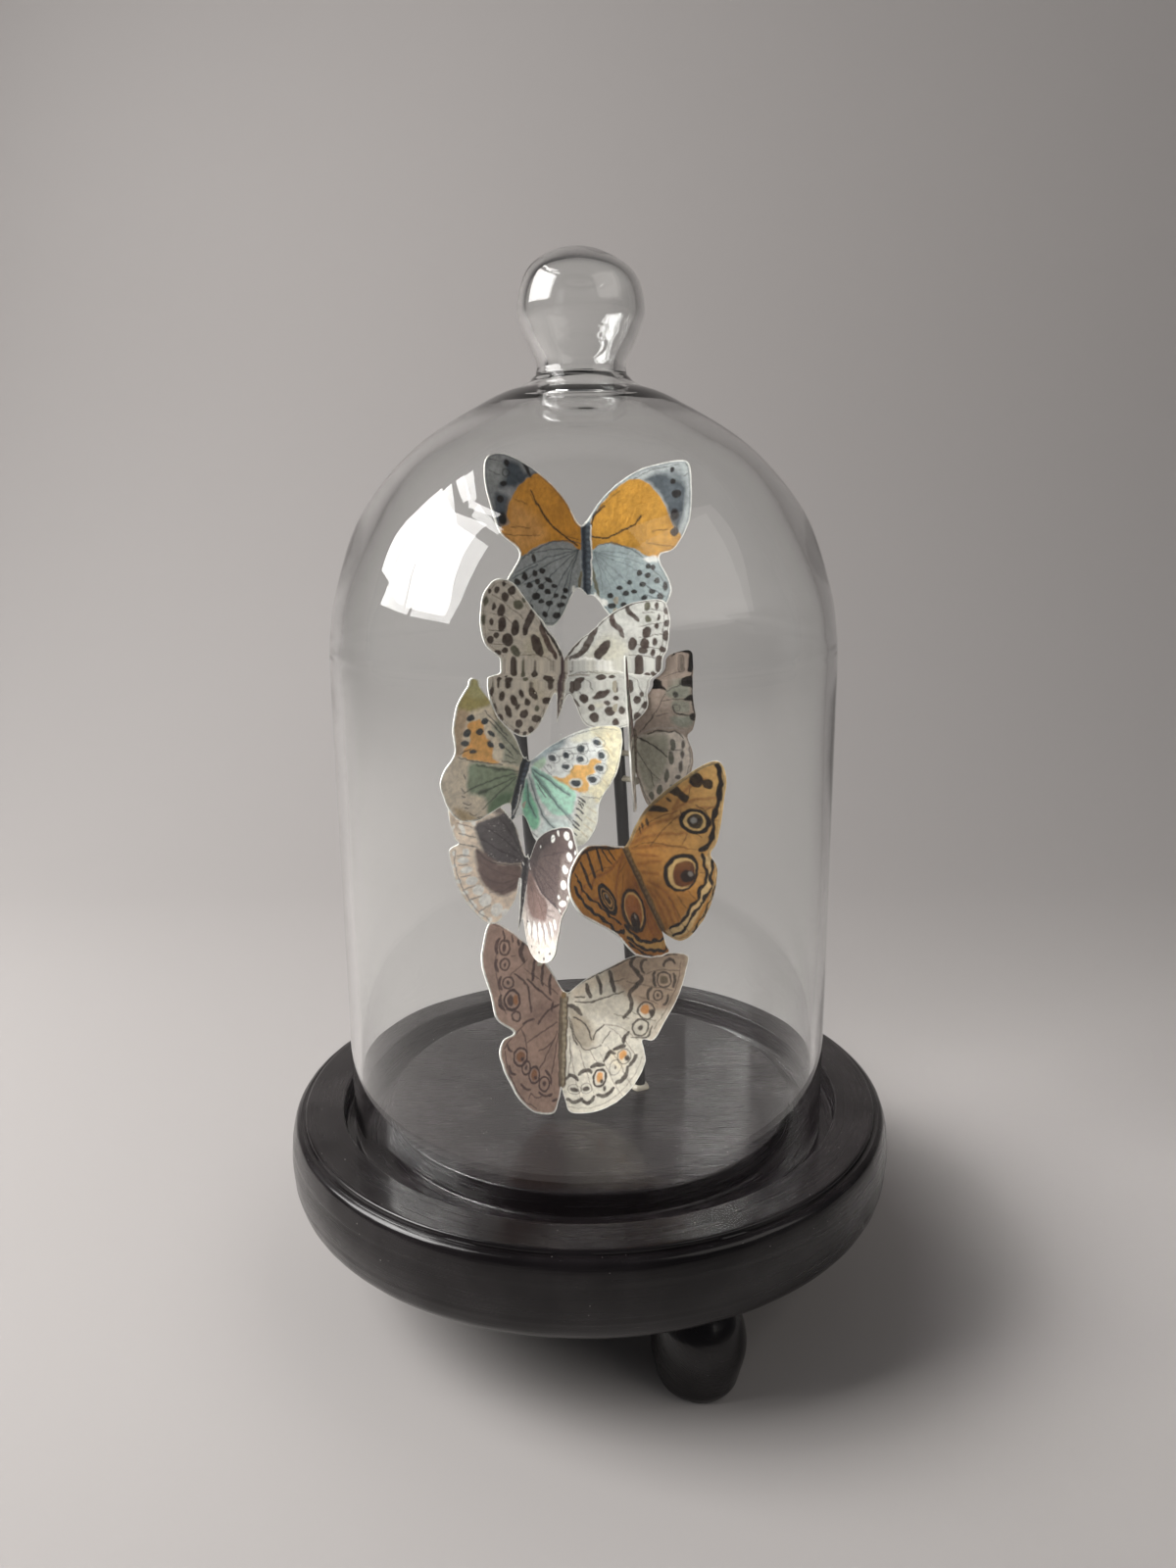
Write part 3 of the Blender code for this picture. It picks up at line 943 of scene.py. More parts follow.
# One butterfly each, in millimetres: centre of the body (x, y, height above the rim), body length,
# turn about the view axis and backward lean in degrees, how far the left and right wings are folded
# forward in degrees, bare margin left at the cut on each side, and the two outlines. An outline
# point is (distance out from the body, distance up along it).
BUTTERFLIES = {
    "butterfly_1": dict(
        centre=(0.3, 1.0, 113.4), body=14.4, turn=-1.0, lean=6.0, folds=(28, 16), bare=(0.22, 0.20),
        left=[(1.5, 7.0), (5.5, 11.0), (10.0, 14.5), (15.5, 17.5), (19.0, 18.0), (21.0, 16.0),
              (20.8, 10.5), (18.5, 5.0), (14.4, 1.3), (17.0, -3.5), (18.2, -6.5), (17.5, -9.5),
              (15.0, -12.0), (9.0, -13.2), (6.0, -12.0), (3.3, -7.0), (1.9, -5.5)],
        right=[(1.3, 8.2), (5.0, 11.3), (9.5, 14.0), (13.0, 15.3), (19.0, 16.2), (21.0, 15.2),
               (21.3, 11.0), (20.8, 6.3), (17.8, 1.6), (14.8, 0.2), (16.8, -5.0), (16.8, -8.0),
               (13.6, -13.0), (9.7, -14.1), (6.3, -13.4), (4.0, -11.0), (1.6, -7.5)]),
    "butterfly_2": dict(
        centre=(-5.1, -3.0, 86.6), body=12.3, turn=8.1, lean=0.0, folds=(30, 21), bare=(0.24, 0.10),
        left=[(1.2, 8.5), (4.3, 12.7), (9.2, 17.0), (13.0, 21.0), (16.0, 22.0), (18.0, 21.0),
              (19.5, 17.5), (19.0, 11.5), (17.3, 8.0), (13.8, 4.9), (16.3, 2.0), (15.4, -2.0),
              (13.3, -5.5), (10.0, -8.4), (6.5, -9.3), (4.0, -7.0), (2.3, -2.6), (1.1, 0.0)],
        right=[(1.8, 10.0), (5.8, 15.0), (10.0, 18.8), (13.7, 20.7), (17.8, 21.6), (19.7, 19.7),
               (20.8, 15.0), (20.4, 10.7), (19.0, 7.0), (18.0, 4.0), (18.4, 0.2), (16.0, -3.4),
               (12.0, -5.3), (6.5, -5.7), (3.4, -1.7), (1.7, 0.0)]),
    "butterfly_3": dict(
        centre=(9.4, -8.4, 75.6), body=8.3, turn=-2.7, lean=0.0, folds=(84, 10), bare=(0.30, 0.0),
        left=[(2.4, 9.5), (5.5, 14.7), (7.2, 17.7), (10.5, 19.7), (12.2, 18.5), (12.0, 10.5),
              (12.4, 6.7), (10.6, 2.6), (11.5, -0.3), (11.4, -3.5), (9.8, -7.8), (6.7, -10.7),
              (2.8, -11.3), (1.4, -9.0), (0.5, -5.4)],
        right=[(2.1, 9.5), (5.4, 14.7), (7.1, 17.7), (10.5, 19.7), (12.2, 18.6), (12.0, 10.5),
               (12.4, 6.7), (11.7, 4.0), (10.6, 2.6), (11.5, -0.3), (11.4, -3.5), (9.8, -7.8),
               (6.7, -10.7), (2.8, -11.3), (1.4, -9.0), (0.5, -5.4)]),
    "butterfly_4": dict(
        centre=(-14.0, -3.4, 66.8), body=14.2, turn=15.1, lean=0.0, folds=(38, 16), bare=(0.26, 0.10),
        left=[(1.0, 7.2), (4.4, 11.0), (9.6, 14.8), (13.3, 18.8), (17.0, 21.0), (19.0, 16.5),
              (18.9, 11.2), (17.0, 6.2), (18.5, 2.5), (18.3, -0.7), (15.3, -5.2), (12.2, -7.3),
              (8.2, -7.2), (5.4, -5.5), (1.4, -3.2)],
        right=[(1.0, 6.6), (4.2, 10.6), (8.6, 14.7), (13.7, 17.6), (17.4, 18.0), (18.8, 13.0),
               (18.8, 8.6), (17.2, 3.0), (17.8, -1.6), (17.2, -4.6), (15.7, -7.0), (11.3, -8.7),
               (6.6, -9.2), (2.5, -4.8)]),
    "butterfly_5": dict(
        centre=(-13.4, -3.2, 44.7), body=17.0, turn=8.1, lean=0.0, folds=(14, 56), bare=(0.20, 0.10),
        left=[(0.8, 8.4), (4.0, 15.2), (9.3, 19.8), (14.0, 21.2), (17.0, 20.4), (17.6, 17.5),
              (15.8, 11.4), (14.6, 9.8), (16.3, 8.2), (15.3, 4.5), (13.4, 0.0), (9.4, -5.0),
              (5.8, -7.0), (3.4, -5.0), (1.5, -1.4), (1.0, 2.9)],
        right=[(0.9, 7.7), (3.0, 12.2), (7.3, 15.7), (13.5, 18.0), (16.5, 15.5), (17.7, 13.0),
               (17.3, 8.8), (16.6, 3.0), (15.2, -0.5), (14.6, -5.0), (13.5, -9.5), (9.6, -11.7),
               (6.0, -11.0), (3.6, -8.7), (1.2, -5.2)]),
    "butterfly_6": dict(
        centre=(11.2, -8.2, 47.0), body=19.9, turn=-23.8, lean=0.0, folds=(56, 18), bare=(0.26, 0.0),
        left=[(1.1, 10.3), (8.8, 14.5), (13.2, 14.9), (18.0, 13.2), (20.5, 10.6), (20.6, 6.0),
              (17.6, 2.0), (13.6, -3.0), (11.0, -9.0), (5.9, -12.8), (1.2, -14.4), (0.8, -12.5)],
        right=[(0.8, 9.9), (4.5, 13.2), (8.8, 16.2), (16.7, 19.0), (24.6, 20.3), (25.4, 16.6),
               (22.4, 11.0), (18.6, 4.9), (16.2, 2.7), (16.3, -0.5), (13.7, -5.2), (9.8, -9.5),
               (5.5, -12.5), (2.8, -13.0), (1.0, -11.5)]),
    "butterfly_7": dict(
        centre=(-5.5, -7.5, 14.1), body=19.7, turn=1.6, lean=23.5, folds=(32, 12), bare=(0.30, 0.10),
        left=[(0.8, 10.7), (2.3, 12.7), (4.8, 15.8), (9.0, 19.0), (13.5, 22.0), (17.2, 23.4),
              (18.8, 22.3), (19.6, 15.5), (17.0, 8.3), (15.6, 3.8), (11.6, 1.3), (14.0, -0.3),
              (14.7, -3.2), (13.2, -7.0), (10.0, -12.0), (6.3, -14.8), (2.0, -15.0), (0.7, -12.5)],
        right=[(1.3, 9.7), (4.4, 12.2), (9.0, 14.5), (15.2, 17.4), (22.6, 18.0), (26.3, 17.5),
               (26.0, 14.8), (24.7, 10.2), (23.3, 7.2), (21.3, 3.6), (19.1, 0.2), (16.8, 0.0),
               (17.5, -4.0), (15.5, -8.4), (12.4, -11.8), (7.7, -14.3), (2.2, -14.8), (0.9, -12.5)]),
}


def placement(spec):
    """Where a folded butterfly stands: its body's centre, turned and leaned."""
    x, y, height = spec["centre"]
    turn = Matrix.Rotation(math.radians(spec["turn"]), 4, "Y")
    lean = Matrix.Rotation(math.radians(-spec["lean"]), 4, "X")
    return Matrix.Translation(Vector((x * MM, y * MM, height * MM + RIM))) @ turn @ lean


def cloud(x, y, size, seed):
    """Smooth random field between -1 and 1, with one bump about every `size` millimetres."""
    cells = 128
    grid = np.random.default_rng(seed).uniform(-1.0, 1.0, (cells, cells))
    across, up = x / size + cells / 2, y / size + cells / 2
    i, j = np.floor(across).astype(int), np.floor(up).astype(int)
    a, b = across - i, up - j
    a, b = a * a * (3 - 2 * a), b * b * (3 - 2 * b)
    pick = lambda p, q: grid[p % cells, q % cells]
    near = pick(i, j) * (1 - a) + pick(i + 1, j) * a
    far = pick(i, j + 1) * (1 - a) + pick(i + 1, j + 1) * a
    return near * (1 - b) + far * b


def distance_to(x, y, route):
    """Distance of each place to a line through the route's points, and how far along it that is."""
    best = np.full(x.shape, 1e9)
    along = np.zeros(x.shape)
    count = len(route) - 1
    for k in range(count):
        start, step = route[k], route[k + 1] - route[k]
        t = ((x - start[0]) * step[0] + (y - start[1]) * step[1]) / max(step @ step, 1e-12)
        t = np.clip(t, 0.0, 1.0)
        gap = np.hypot(x - start[0] - step[0] * t, y - start[1] - step[1] * t)
        nearer = gap < best
        best = np.where(nearer, gap, best)
        along = np.where(nearer, (k + t) / count, along)
    return best, along


def inside_of(x, y, ring):
    """True for each place inside the closed ring of points."""
    inside = np.zeros(x.shape, bool)
    for k in range(len(ring)):
        (x1, y1), (x2, y2) = ring[k - 1], ring[k]
        if y1 != y2:
            crosses = ((y1 > y) != (y2 > y)) & (x < (x2 - x1) * (y - y1) / (y2 - y1) + x1)
            inside ^= crosses
    return inside


class Print:
    """The coloured face of one sheet: a colour for each of its points, painted in millimetres.

    Marks are placed by (x, y): x to the right of the body, y up along it.
    """

    def __init__(self, x, y, edge, white, seed):
        self.x, self.y, self.edge = x, y, edge
        self.white = np.array(white)
        self.seed = seed
        self.u = x + 0.14 * cloud(x, y, 0.9, seed) + 0.06 * cloud(x, y, 0.35, seed + 1)
        self.v = y + 0.14 * cloud(x, y, 0.9, seed + 2) + 0.06 * cloud(x, y, 0.35, seed + 3)
        self.wash = 0.5 + 0.5 * cloud(x, y, 2.4, seed + 4)
        self.dry = 0.5 + 0.5 * cloud(x, y, 0.6, seed + 5)
        self.colour = np.ones((len(x), 3)) * self.white

    def tint(self, amount, shade):
        """Lay a colour over the sheet, by an amount from 0 to 1 at each point."""
        amount = np.clip(amount, 0.0, 1.0)[:, None]
        self.colour = self.colour * (1.0 - amount) + np.array(shade) * amount

    def watery(self, low=0.86, high=1.12):
        """Uneven pigment, as watercolour dries."""
        self.colour *= (low + (high - low) * (0.65 * self.wash + 0.35 * self.dry))[:, None]

    def side(self, sign, shade, soft=0.25):
        """Colour the whole right wing pair (sign 1) or left pair (sign -1). Most prints give the left pair a
        darker, warmer ground as painted shade with a painted reddish bounce light.
        """
        self.tint(0.5 + sign * self.u / soft, shade)

    def fold_over(self, places, mirror):
        """The places turned over to the other side of the body, if asked for."""
        return [(-x, y, *rest) for x, y, *rest in places] if mirror else places

    def patch(self, corners, shade, soft=0.35, amount=1.0, mirror=False):
        """A soft-edged area with a smooth outline through its corners."""
        ring = smooth_ring(self.fold_over(corners, mirror), 4)
        gap, _ = distance_to(self.u, self.v, ring + ring[:1])
        gap = np.where(inside_of(self.u, self.v, ring), -gap, gap)
        self.tint(amount * np.clip(0.5 - gap / soft, 0.0, 1.0), shade)

    def ellipse(self, x, y, wide, tall, tilt):
        """Distance to an ellipse's edge, less than 0 inside it. Tilt leans its top to the right."""
        cos, sin = math.cos(math.radians(tilt)), math.sin(math.radians(tilt))
        p = (self.u - x) * cos - (self.v - y) * sin
        q = (self.u - x) * sin + (self.v - y) * cos
        return (np.sqrt((p / wide) ** 2 + (q / tall) ** 2 + 1e-9) - 1.0) * min(wide, tall)

    def spots(self, places, shade, soft=0.16, amount=1.0, grow=0.0):
        """Spots of (x, y, half width, half height) and a tilt if there is one."""
        for x, y, wide, tall, *tilt in places:
            gap = self.ellipse(x, y, wide + grow, tall + grow, tilt[0] if tilt else 0.0)
            strength = amount * (0.90 + 0.10 * self.dry)
            self.tint(strength * np.clip(0.5 - gap / soft, 0.0, 1.0), shade)

    def rings(self, places, shade, width=0.2, soft=0.14, amount=1.0):
        """Thin ellipses, placed as spots are."""
        for x, y, wide, tall, *tilt in places:
            gap = np.abs(self.ellipse(x, y, wide, tall, tilt[0] if tilt else 0.0)) - width / 2
            self.tint(amount * np.clip(0.5 - gap / soft, 0.0, 1.0), shade)

    def arcs(self, places, shade, width=0.3, soft=0.14, amount=1.0):
        """Parts of rings: (x, y, half width, half height, start, end).

        The angles are in degrees, anticlockwise from the right.
        """
        for x, y, wide, tall, start, end in places:
            angles = np.radians(np.linspace(start, end, 6))
            self.stroke([(x + wide * math.cos(a), y + tall * math.sin(a)) for a in angles],
                        shade, width, soft, amount)

    def stroke(self, route, shade, width=0.22, soft=0.14, amount=1.0):
        """One brush or pen stroke, thinner at both ends."""
        path = smooth_line(route, 4)
        gap, along = distance_to(self.u, self.v, path)
        swell = 0.45 + 0.55 * np.sqrt(np.clip(np.sin(math.pi * (0.06 + 0.88 * along)), 0.0, 1.0))
        edge = gap - width / 2 * swell
        self.tint(amount * (0.82 + 0.18 * self.dry) * np.clip(0.5 - edge / soft, 0.0, 1.0), shade)

    def strokes(self, routes, shade, width=0.22, soft=0.14, amount=1.0, mirror=False):
        """Several strokes of one kind."""
        for route in routes:
            self.stroke(self.fold_over(route, mirror), shade, width, soft, amount)

    def wavy(self, route, shade, width, sway=0.18, amount=1.0):
        """A stroke that wavers to both sides, as painted margin lines do."""
        path = smooth_line(route, 8)
        x = self.u + sway * np.sin(self.v * 2.3)
        y = self.v + sway * np.sin(self.u * 2.1)
        gap, along = distance_to(x, y, path)
        swell = 0.95 + 0.25 * np.sin(along * 29.0)
        self.tint(amount * np.clip(0.5 - (gap - width / 2 * swell) / 0.15, 0.0, 1.0), shade)

    def fan(self, root, tips, shade, width=0.16, amount=0.7, bow=0.08):
        """Wing veins: slightly bowed lines from one root to each tip."""
        for tip in tips:
            middle = ((root[0] + tip[0]) / 2 - (tip[1] - root[1]) * bow,
                      (root[1] + tip[1]) / 2 + (tip[0] - root[0]) * bow)
            self.stroke([root, middle, tip], shade, width, 0.14, amount)

    def body(self, top, bottom, half, dark, light, edge_shade=None):
        """The painted body: dark on the left, lighter on the right, with faint rings across."""
        middle = (top + bottom) / 2
        reach = np.clip(1.0 - (np.abs(self.v - middle) - (top - bottom) / 2) / 0.5, 0.0, 1.0)
        narrow = half * (0.62 + 0.38 * np.clip((self.v - bottom) / (top - bottom) * 1.8, 0.0, 1.0))
        inside = np.clip(0.5 - (np.abs(self.u) - narrow) / 0.16, 0.0, 1.0) * reach
        if edge_shade is not None:
            rim = np.clip(0.5 - (np.abs(self.u) - narrow - 0.30) / 0.16, 0.0, 1.0) * reach
            self.tint(rim, edge_shade)
        self.tint(inside, dark)
        lit = np.clip(self.u / half * 1.6 + 0.35, 0.0, 1.0)
        bands = 0.72 + 0.28 * np.sin(self.v * 5.6 + 0.4 * self.u)
        self.tint(inside * lit * bands, light)

    def outline(self, shade, inset, width=0.14, amount=0.7, side=0):
        """A thin line drawn just inside the cut edge, on one side or, with 0, on both."""
        gap = np.abs(self.edge - inset * (0.8 + 0.4 * self.wash)) - width / 2
        where = (self.x * side >= 0.0) * (0.45 + 0.55 * self.dry)
        self.tint(amount * where * np.clip(0.5 - gap / 0.12, 0.0, 1.0), shade)

    def finish(self, spec):
        """The colours, once the paper is left bare at the cut edge by each side's margin."""
        left, right = spec["bare"]
        margin = np.where(self.x < 0.0, left, right) * (0.55 + 0.9 * self.wash)
        self.tint(np.clip(0.5 - (self.edge - margin) / 0.14, 0.0, 1.0) * (margin > 0.01), self.white)
        return np.clip(self.colour, 0.0, 1.0)


# ---------------------------------------------------------------------------------------------
# Butterflies: what is painted on each
# ---------------------------------------------------------------------------------------------

UMBER = (0.066, 0.045, 0.036)
SLATE = (0.042, 0.055, 0.066)
NAVY = (0.036, 0.048, 0.062)


def print_orange_wing(sheet, paper):
    """Ochre forewings with slate tips, pale blue-grey hindwings with rows of black dots."""
    ink = tuple(paper.ink)
    # The left ground and the left tip patch are painted darker than the right ones: painted shade on the
    # left wings.
    sheet.side(1, (0.335, 0.395, 0.400))
    sheet.side(-1, (0.30, 0.315, 0.315))
    tip_right = [(9.5, 14.6), (13, 15.6), (19, 16.5), (21.6, 15.2), (21.6, 8), (19.8, 3.4), (18.4, 4.2),
        (17.2, 6.4), (15.6, 9), (13.8, 11.1), (12, 12.4), (9.6, 13.2)]
    sheet.patch(tip_right, (0.40, 0.43, 0.43))
    # Left tip patch: the right tip's colour painted darker, as painted shade.
    sheet.patch([(-9.6, 14.8), (-15, 18), (-20, 18.5), (-21.5, 15), (-21.2, 9), (-18.6, 4.8), (-17.2, 5.8),
        (-16.4, 7), (-15.8, 9.6), (-14.4, 11.6), (-12.4, 13.2), (-10.2, 13.9)], (0.27, 0.275, 0.28))
    sheet.patch([(12.1, 12.7), (14, 13.7), (17.2, 14.0), (19.6, 13.0), (20.2, 10.4), (19.6, 7.2),
        (18.4, 4.4), (17.5, 5.4), (16.5, 7.8), (15.1, 10.1), (13.4, 12.0)], NAVY, 0.9, 0.86)
    sheet.patch([(14.6, 14.0), (19.4, 14.2), (20.4, 11.4), (18.6, 12.2), (16.4, 13.4)], (0.30, 0.33, 0.34),
        0.8, 0.6)
    sheet.patch([(-10.2, 14.4), (-13, 14.3), (-14.3, 16.0), (-17.3, 16.4), (-17.8, 14.2), (-18.4, 11.6),
        (-16.6, 11.6), (-14.4, 11.9), (-12.2, 13.4)], NAVY, 1.0, 0.9)
    sheet.patch([(-19, 10.5), (-16.6, 10.2), (-16.3, 8.6), (-16.6, 6.6), (-18.8, 5.8), (-19.6, 8.6)], NAVY,
        0.9, 0.8)
    sheet.patch([(-20, 17.3), (-17, 15.4), (-17.4, 12.5), (-20.6, 12)], (0.30, 0.31, 0.30), 0.8, 0.6)
    ochre = np.array(paper.ochre)
    sheet.patch([(0.6, 5.0), (0.9, 6.8), (2.1, 8.3), (5.5, 11.1), (8, 12.5), (10.2, 13.1), (12.1, 12.4),
        (13.8, 11.1), (15.6, 9.0), (17.2, 6.4), (17.9, 4.9), (19.1, 4.0), (18.4, 2), (16.5, 0.6),
        (14.7, -0.1), (12, 0.7), (10, 1.9), (6, 3.1), (3, 3.3), (1.2, 2.3)], ochre, 0.22)
    sheet.patch([(-0.6, 6.9), (-4.5, 10.6), (-9.4, 14.2), (-12.2, 13.4), (-14.2, 11.9), (-15.8, 9.9),
        (-16.8, 7.6), (-16.3, 6.4), (-18.3, 5.6), (-18.8, 4.6), (-14.4, 0.9), (-12, 1.9), (-10, 3),
        (-8, 3.5), (-5, 3.8), (-3, 3.3), (-1.2, 2.3)], ochre * (1.18, 1.06, 1.0), 0.22)
    sheet.patch([(-11, 7.6), (-15.6, 9.4), (-16.6, 7.2), (-18.2, 5), (-14.4, 1.6), (-10.5, 3.2), (-8.6, 5)],
        (0.60, 0.32, 0.12), 2.0, 0.55)
    sheet.patch([(11.5, 8), (14.5, 9), (17, 5.6), (18, 3.4), (14.6, 1), (10.5, 3)], (0.56, 0.30, 0.06), 2.4,
        0.5)
    sheet.watery(0.84, 1.14)
    sheet.strokes([[(-11.8, 11.3), (-10.6, 9.2), (-8.0, 6.8), (-5.5, 5.3), (-3.4, 3.9), (-1.8, 2.9)],
        [(1.2, 4.8), (4.4, 4.4), (7.4, 5.4), (9.6, 6.2), (11.3, 7.3)], [(0.9, 6.1), (1.6, 7.4), (2.3, 8.2),
        (4.0, 9.0)]], ink, 0.36)
    sheet.strokes([[(-12.0, 10.6), (-10.5, 8.7)], [(-5.6, 5.3), (-3.4, 4.6), (-1.9, 4.2)], [(-18, 4.6),
        (-14, 4.5), (-10, 4.7)], [(-15, 9.6), (-12.6, 9.0)], [(1.3, 7.7), (4.2, 9.6), (7.4, 11.3)],
        [(13.5, 5.0), (16.6, 5.1)], [(12.2, 2.9), (15, 2.4), (17.5, 1.9)], [(9.8, 13.0), (14, 14.6),
        (19, 15.4)], [(-1.4, 7.5), (-0.8, 6.2)], [(-20.4, 16.7), (-18.2, 16.3)], [(-20.2, 14.4),
        (-18, 13.6)], [(19.9, 12.9), (20.9, 13.8)], [(-16.2, 5.9), (-12, 5.9)]], ink, 0.16, amount=0.75)
    sheet.spots([(17.6, 14.3, .5, .55), (17.8, 12.3, .55, .5), (18.3, 10.1, .95, .7), (17.9, 7.1, .85, .75),
        (17.9, 4.6, .85, .65), (-16.7, 16.0, .5, .75), (-12.6, 15.0, 1.6, .35, 62), (-18.3, 9.5, .7, .6),
        (-17.8, 6.9, .9, .8), (-17.4, 12.2, .7, .5)], ink, 0.2)
    sheet.rings([(-17.0, 14.2, .7, .6)], ink, 0.2, amount=0.7)
    sheet.fan((-1.6, 2.2), [(-12, 1.2), (-15.6, -2.6), (-16.2, -6), (-13.6, -9.8), (-9.6, -12.4),
        (-6.4, -11.2), (-4.2, -7.4)], SLATE, 0.22, 0.75, -0.05)
    sheet.fan((1.6, 1.8), [(11.0, 0.4), (15.2, -3.0), (16.2, -6.6), (13.2, -11.6), (9.6, -13.2),
        (6.2, -12.4), (3.2, -6.6)], (0.12, 0.15, 0.16), 0.16, 0.6, 0.05)
    sheet.strokes([[(-0.9, 3.3), (-4, 3.9), (-8, 3.4), (-12.4, 1.2), (-14.2, 0.2)], [(2.0, 2.8), (3.8, 3.3),
        (6, 3.2), (9, 2.0), (11.6, 0.2), (13.6, -2.2), (15.6, -4.6)], [(-16.2, -3.8), (-13.5, -2.2),
        (-10.6, -0.9)], [(-13.8, -4.8), (-10.2, -3.6)], [(11.6, -7.4), (14.8, -8.6)], [(12.2, -5.6),
        (15.8, -8.0)]], SLATE, 0.26, amount=0.8)
    left_dots = [(-11.5, .3, .35, .7), (-9.8, -2.1, .5, .55), (-11.4, -2.6, .45, .55),
        (-8.6, -3.9, .8, .4, 30), (-10.9, -4.2, .4, .55), (-7.4, -5.1, .6, .4), (-10.1, -5.3, .55, .5),
        (-4.8, -6.1, .55, .5), (-5.3, -7.6, .6, .35), (-8.8, -6.4, .65, .5), (-7.1, -7.2, .5, .45),
        (-13.6, -3.2, .5, .8), (-15.3, -4.4, .6, .6), (-12.6, -5, .6, .5), (-11.3, -7.4, .8, .6),
        (-10.2, -8.5, .6, .4), (-8.4, -8.9, .75, .5), (-6, -9.3, .75, .4), (-6.9, -11.4, .75, .45),
        (-9.5, -11.1, .6, .5), (-14.6, -7.2, .5, .6), (-12.8, -9.6, .6, .5), (-11.6, -11.4, .5, .4),
        (-16.4, -6.6, .4, .6)]
    right_dots = [(12.6, -1.6, .5, .4), (13.6, -1.8, .4, .45), (10.8, -2.8, .5, .5), (12.5, -3.4, .5, .5),
        (8.8, -4.7, .45, .4), (6.7, -5.7, .5, .4), (11.4, -5.2, .55, .5), (14.3, -4.6, .5, .55),
        (15.8, -5.8, .45, .9), (9.7, -6.7, .55, .45), (8, -7, .6, .45), (13.3, -6.8, .55, .45),
        (4.9, -7.4, .55, .5), (11.6, -8.1, .5, .4), (14.9, -8, .5, .6), (7.5, -9.5, .55, .4),
        (5.0, -9.7, .8, .5), (12.6, -10.2, .6, .5), (9.6, -10.6, .6, .5), (7.4, -11.8, .5, .4)]
    sheet.spots(left_dots + right_dots, ink, 0.18, grow=0.11)
    sheet.outline(NAVY, 0.42)
    sheet.patch([(11.6, -0.1), (13.6, 0.4), (14.4, 0.2), (14.2, -0.8), (12.6, -0.7)], sheet.white, 0.4, 0.8)
    sheet.stroke([(1.1, -1.0), (1.6, -3.6), (2.5, -7.8)], (0.13, 0.11, 0.05), 0.7, 0.2, 0.9)
    sheet.stroke([(-1.3, -2.2), (-1.7, -5.2)], (0.16, 0.13, 0.06), 0.7, 0.2, 0.9)
    sheet.patch([(1.5, -6.6), (2.9, -7.8), (4.2, -8.6), (3.8, -9.8), (2.2, -8.8)], sheet.white, 0.3, 0.9)
    sheet.patch([(-2.6, -5.2), (-3.2, -5.0), (-3.4, -6.4), (-2.4, -6.2)], sheet.white, 0.3, 0.8)
    sheet.body(6.9, -6.6, 0.85, (0.030, 0.036, 0.046), (0.14, 0.165, 0.19), (0.10, 0.12, 0.14))
    sheet.strokes([[(1.0, 6.6), (1.15, 2.0), (0.95, -4.8)]], sheet.white, 0.34)


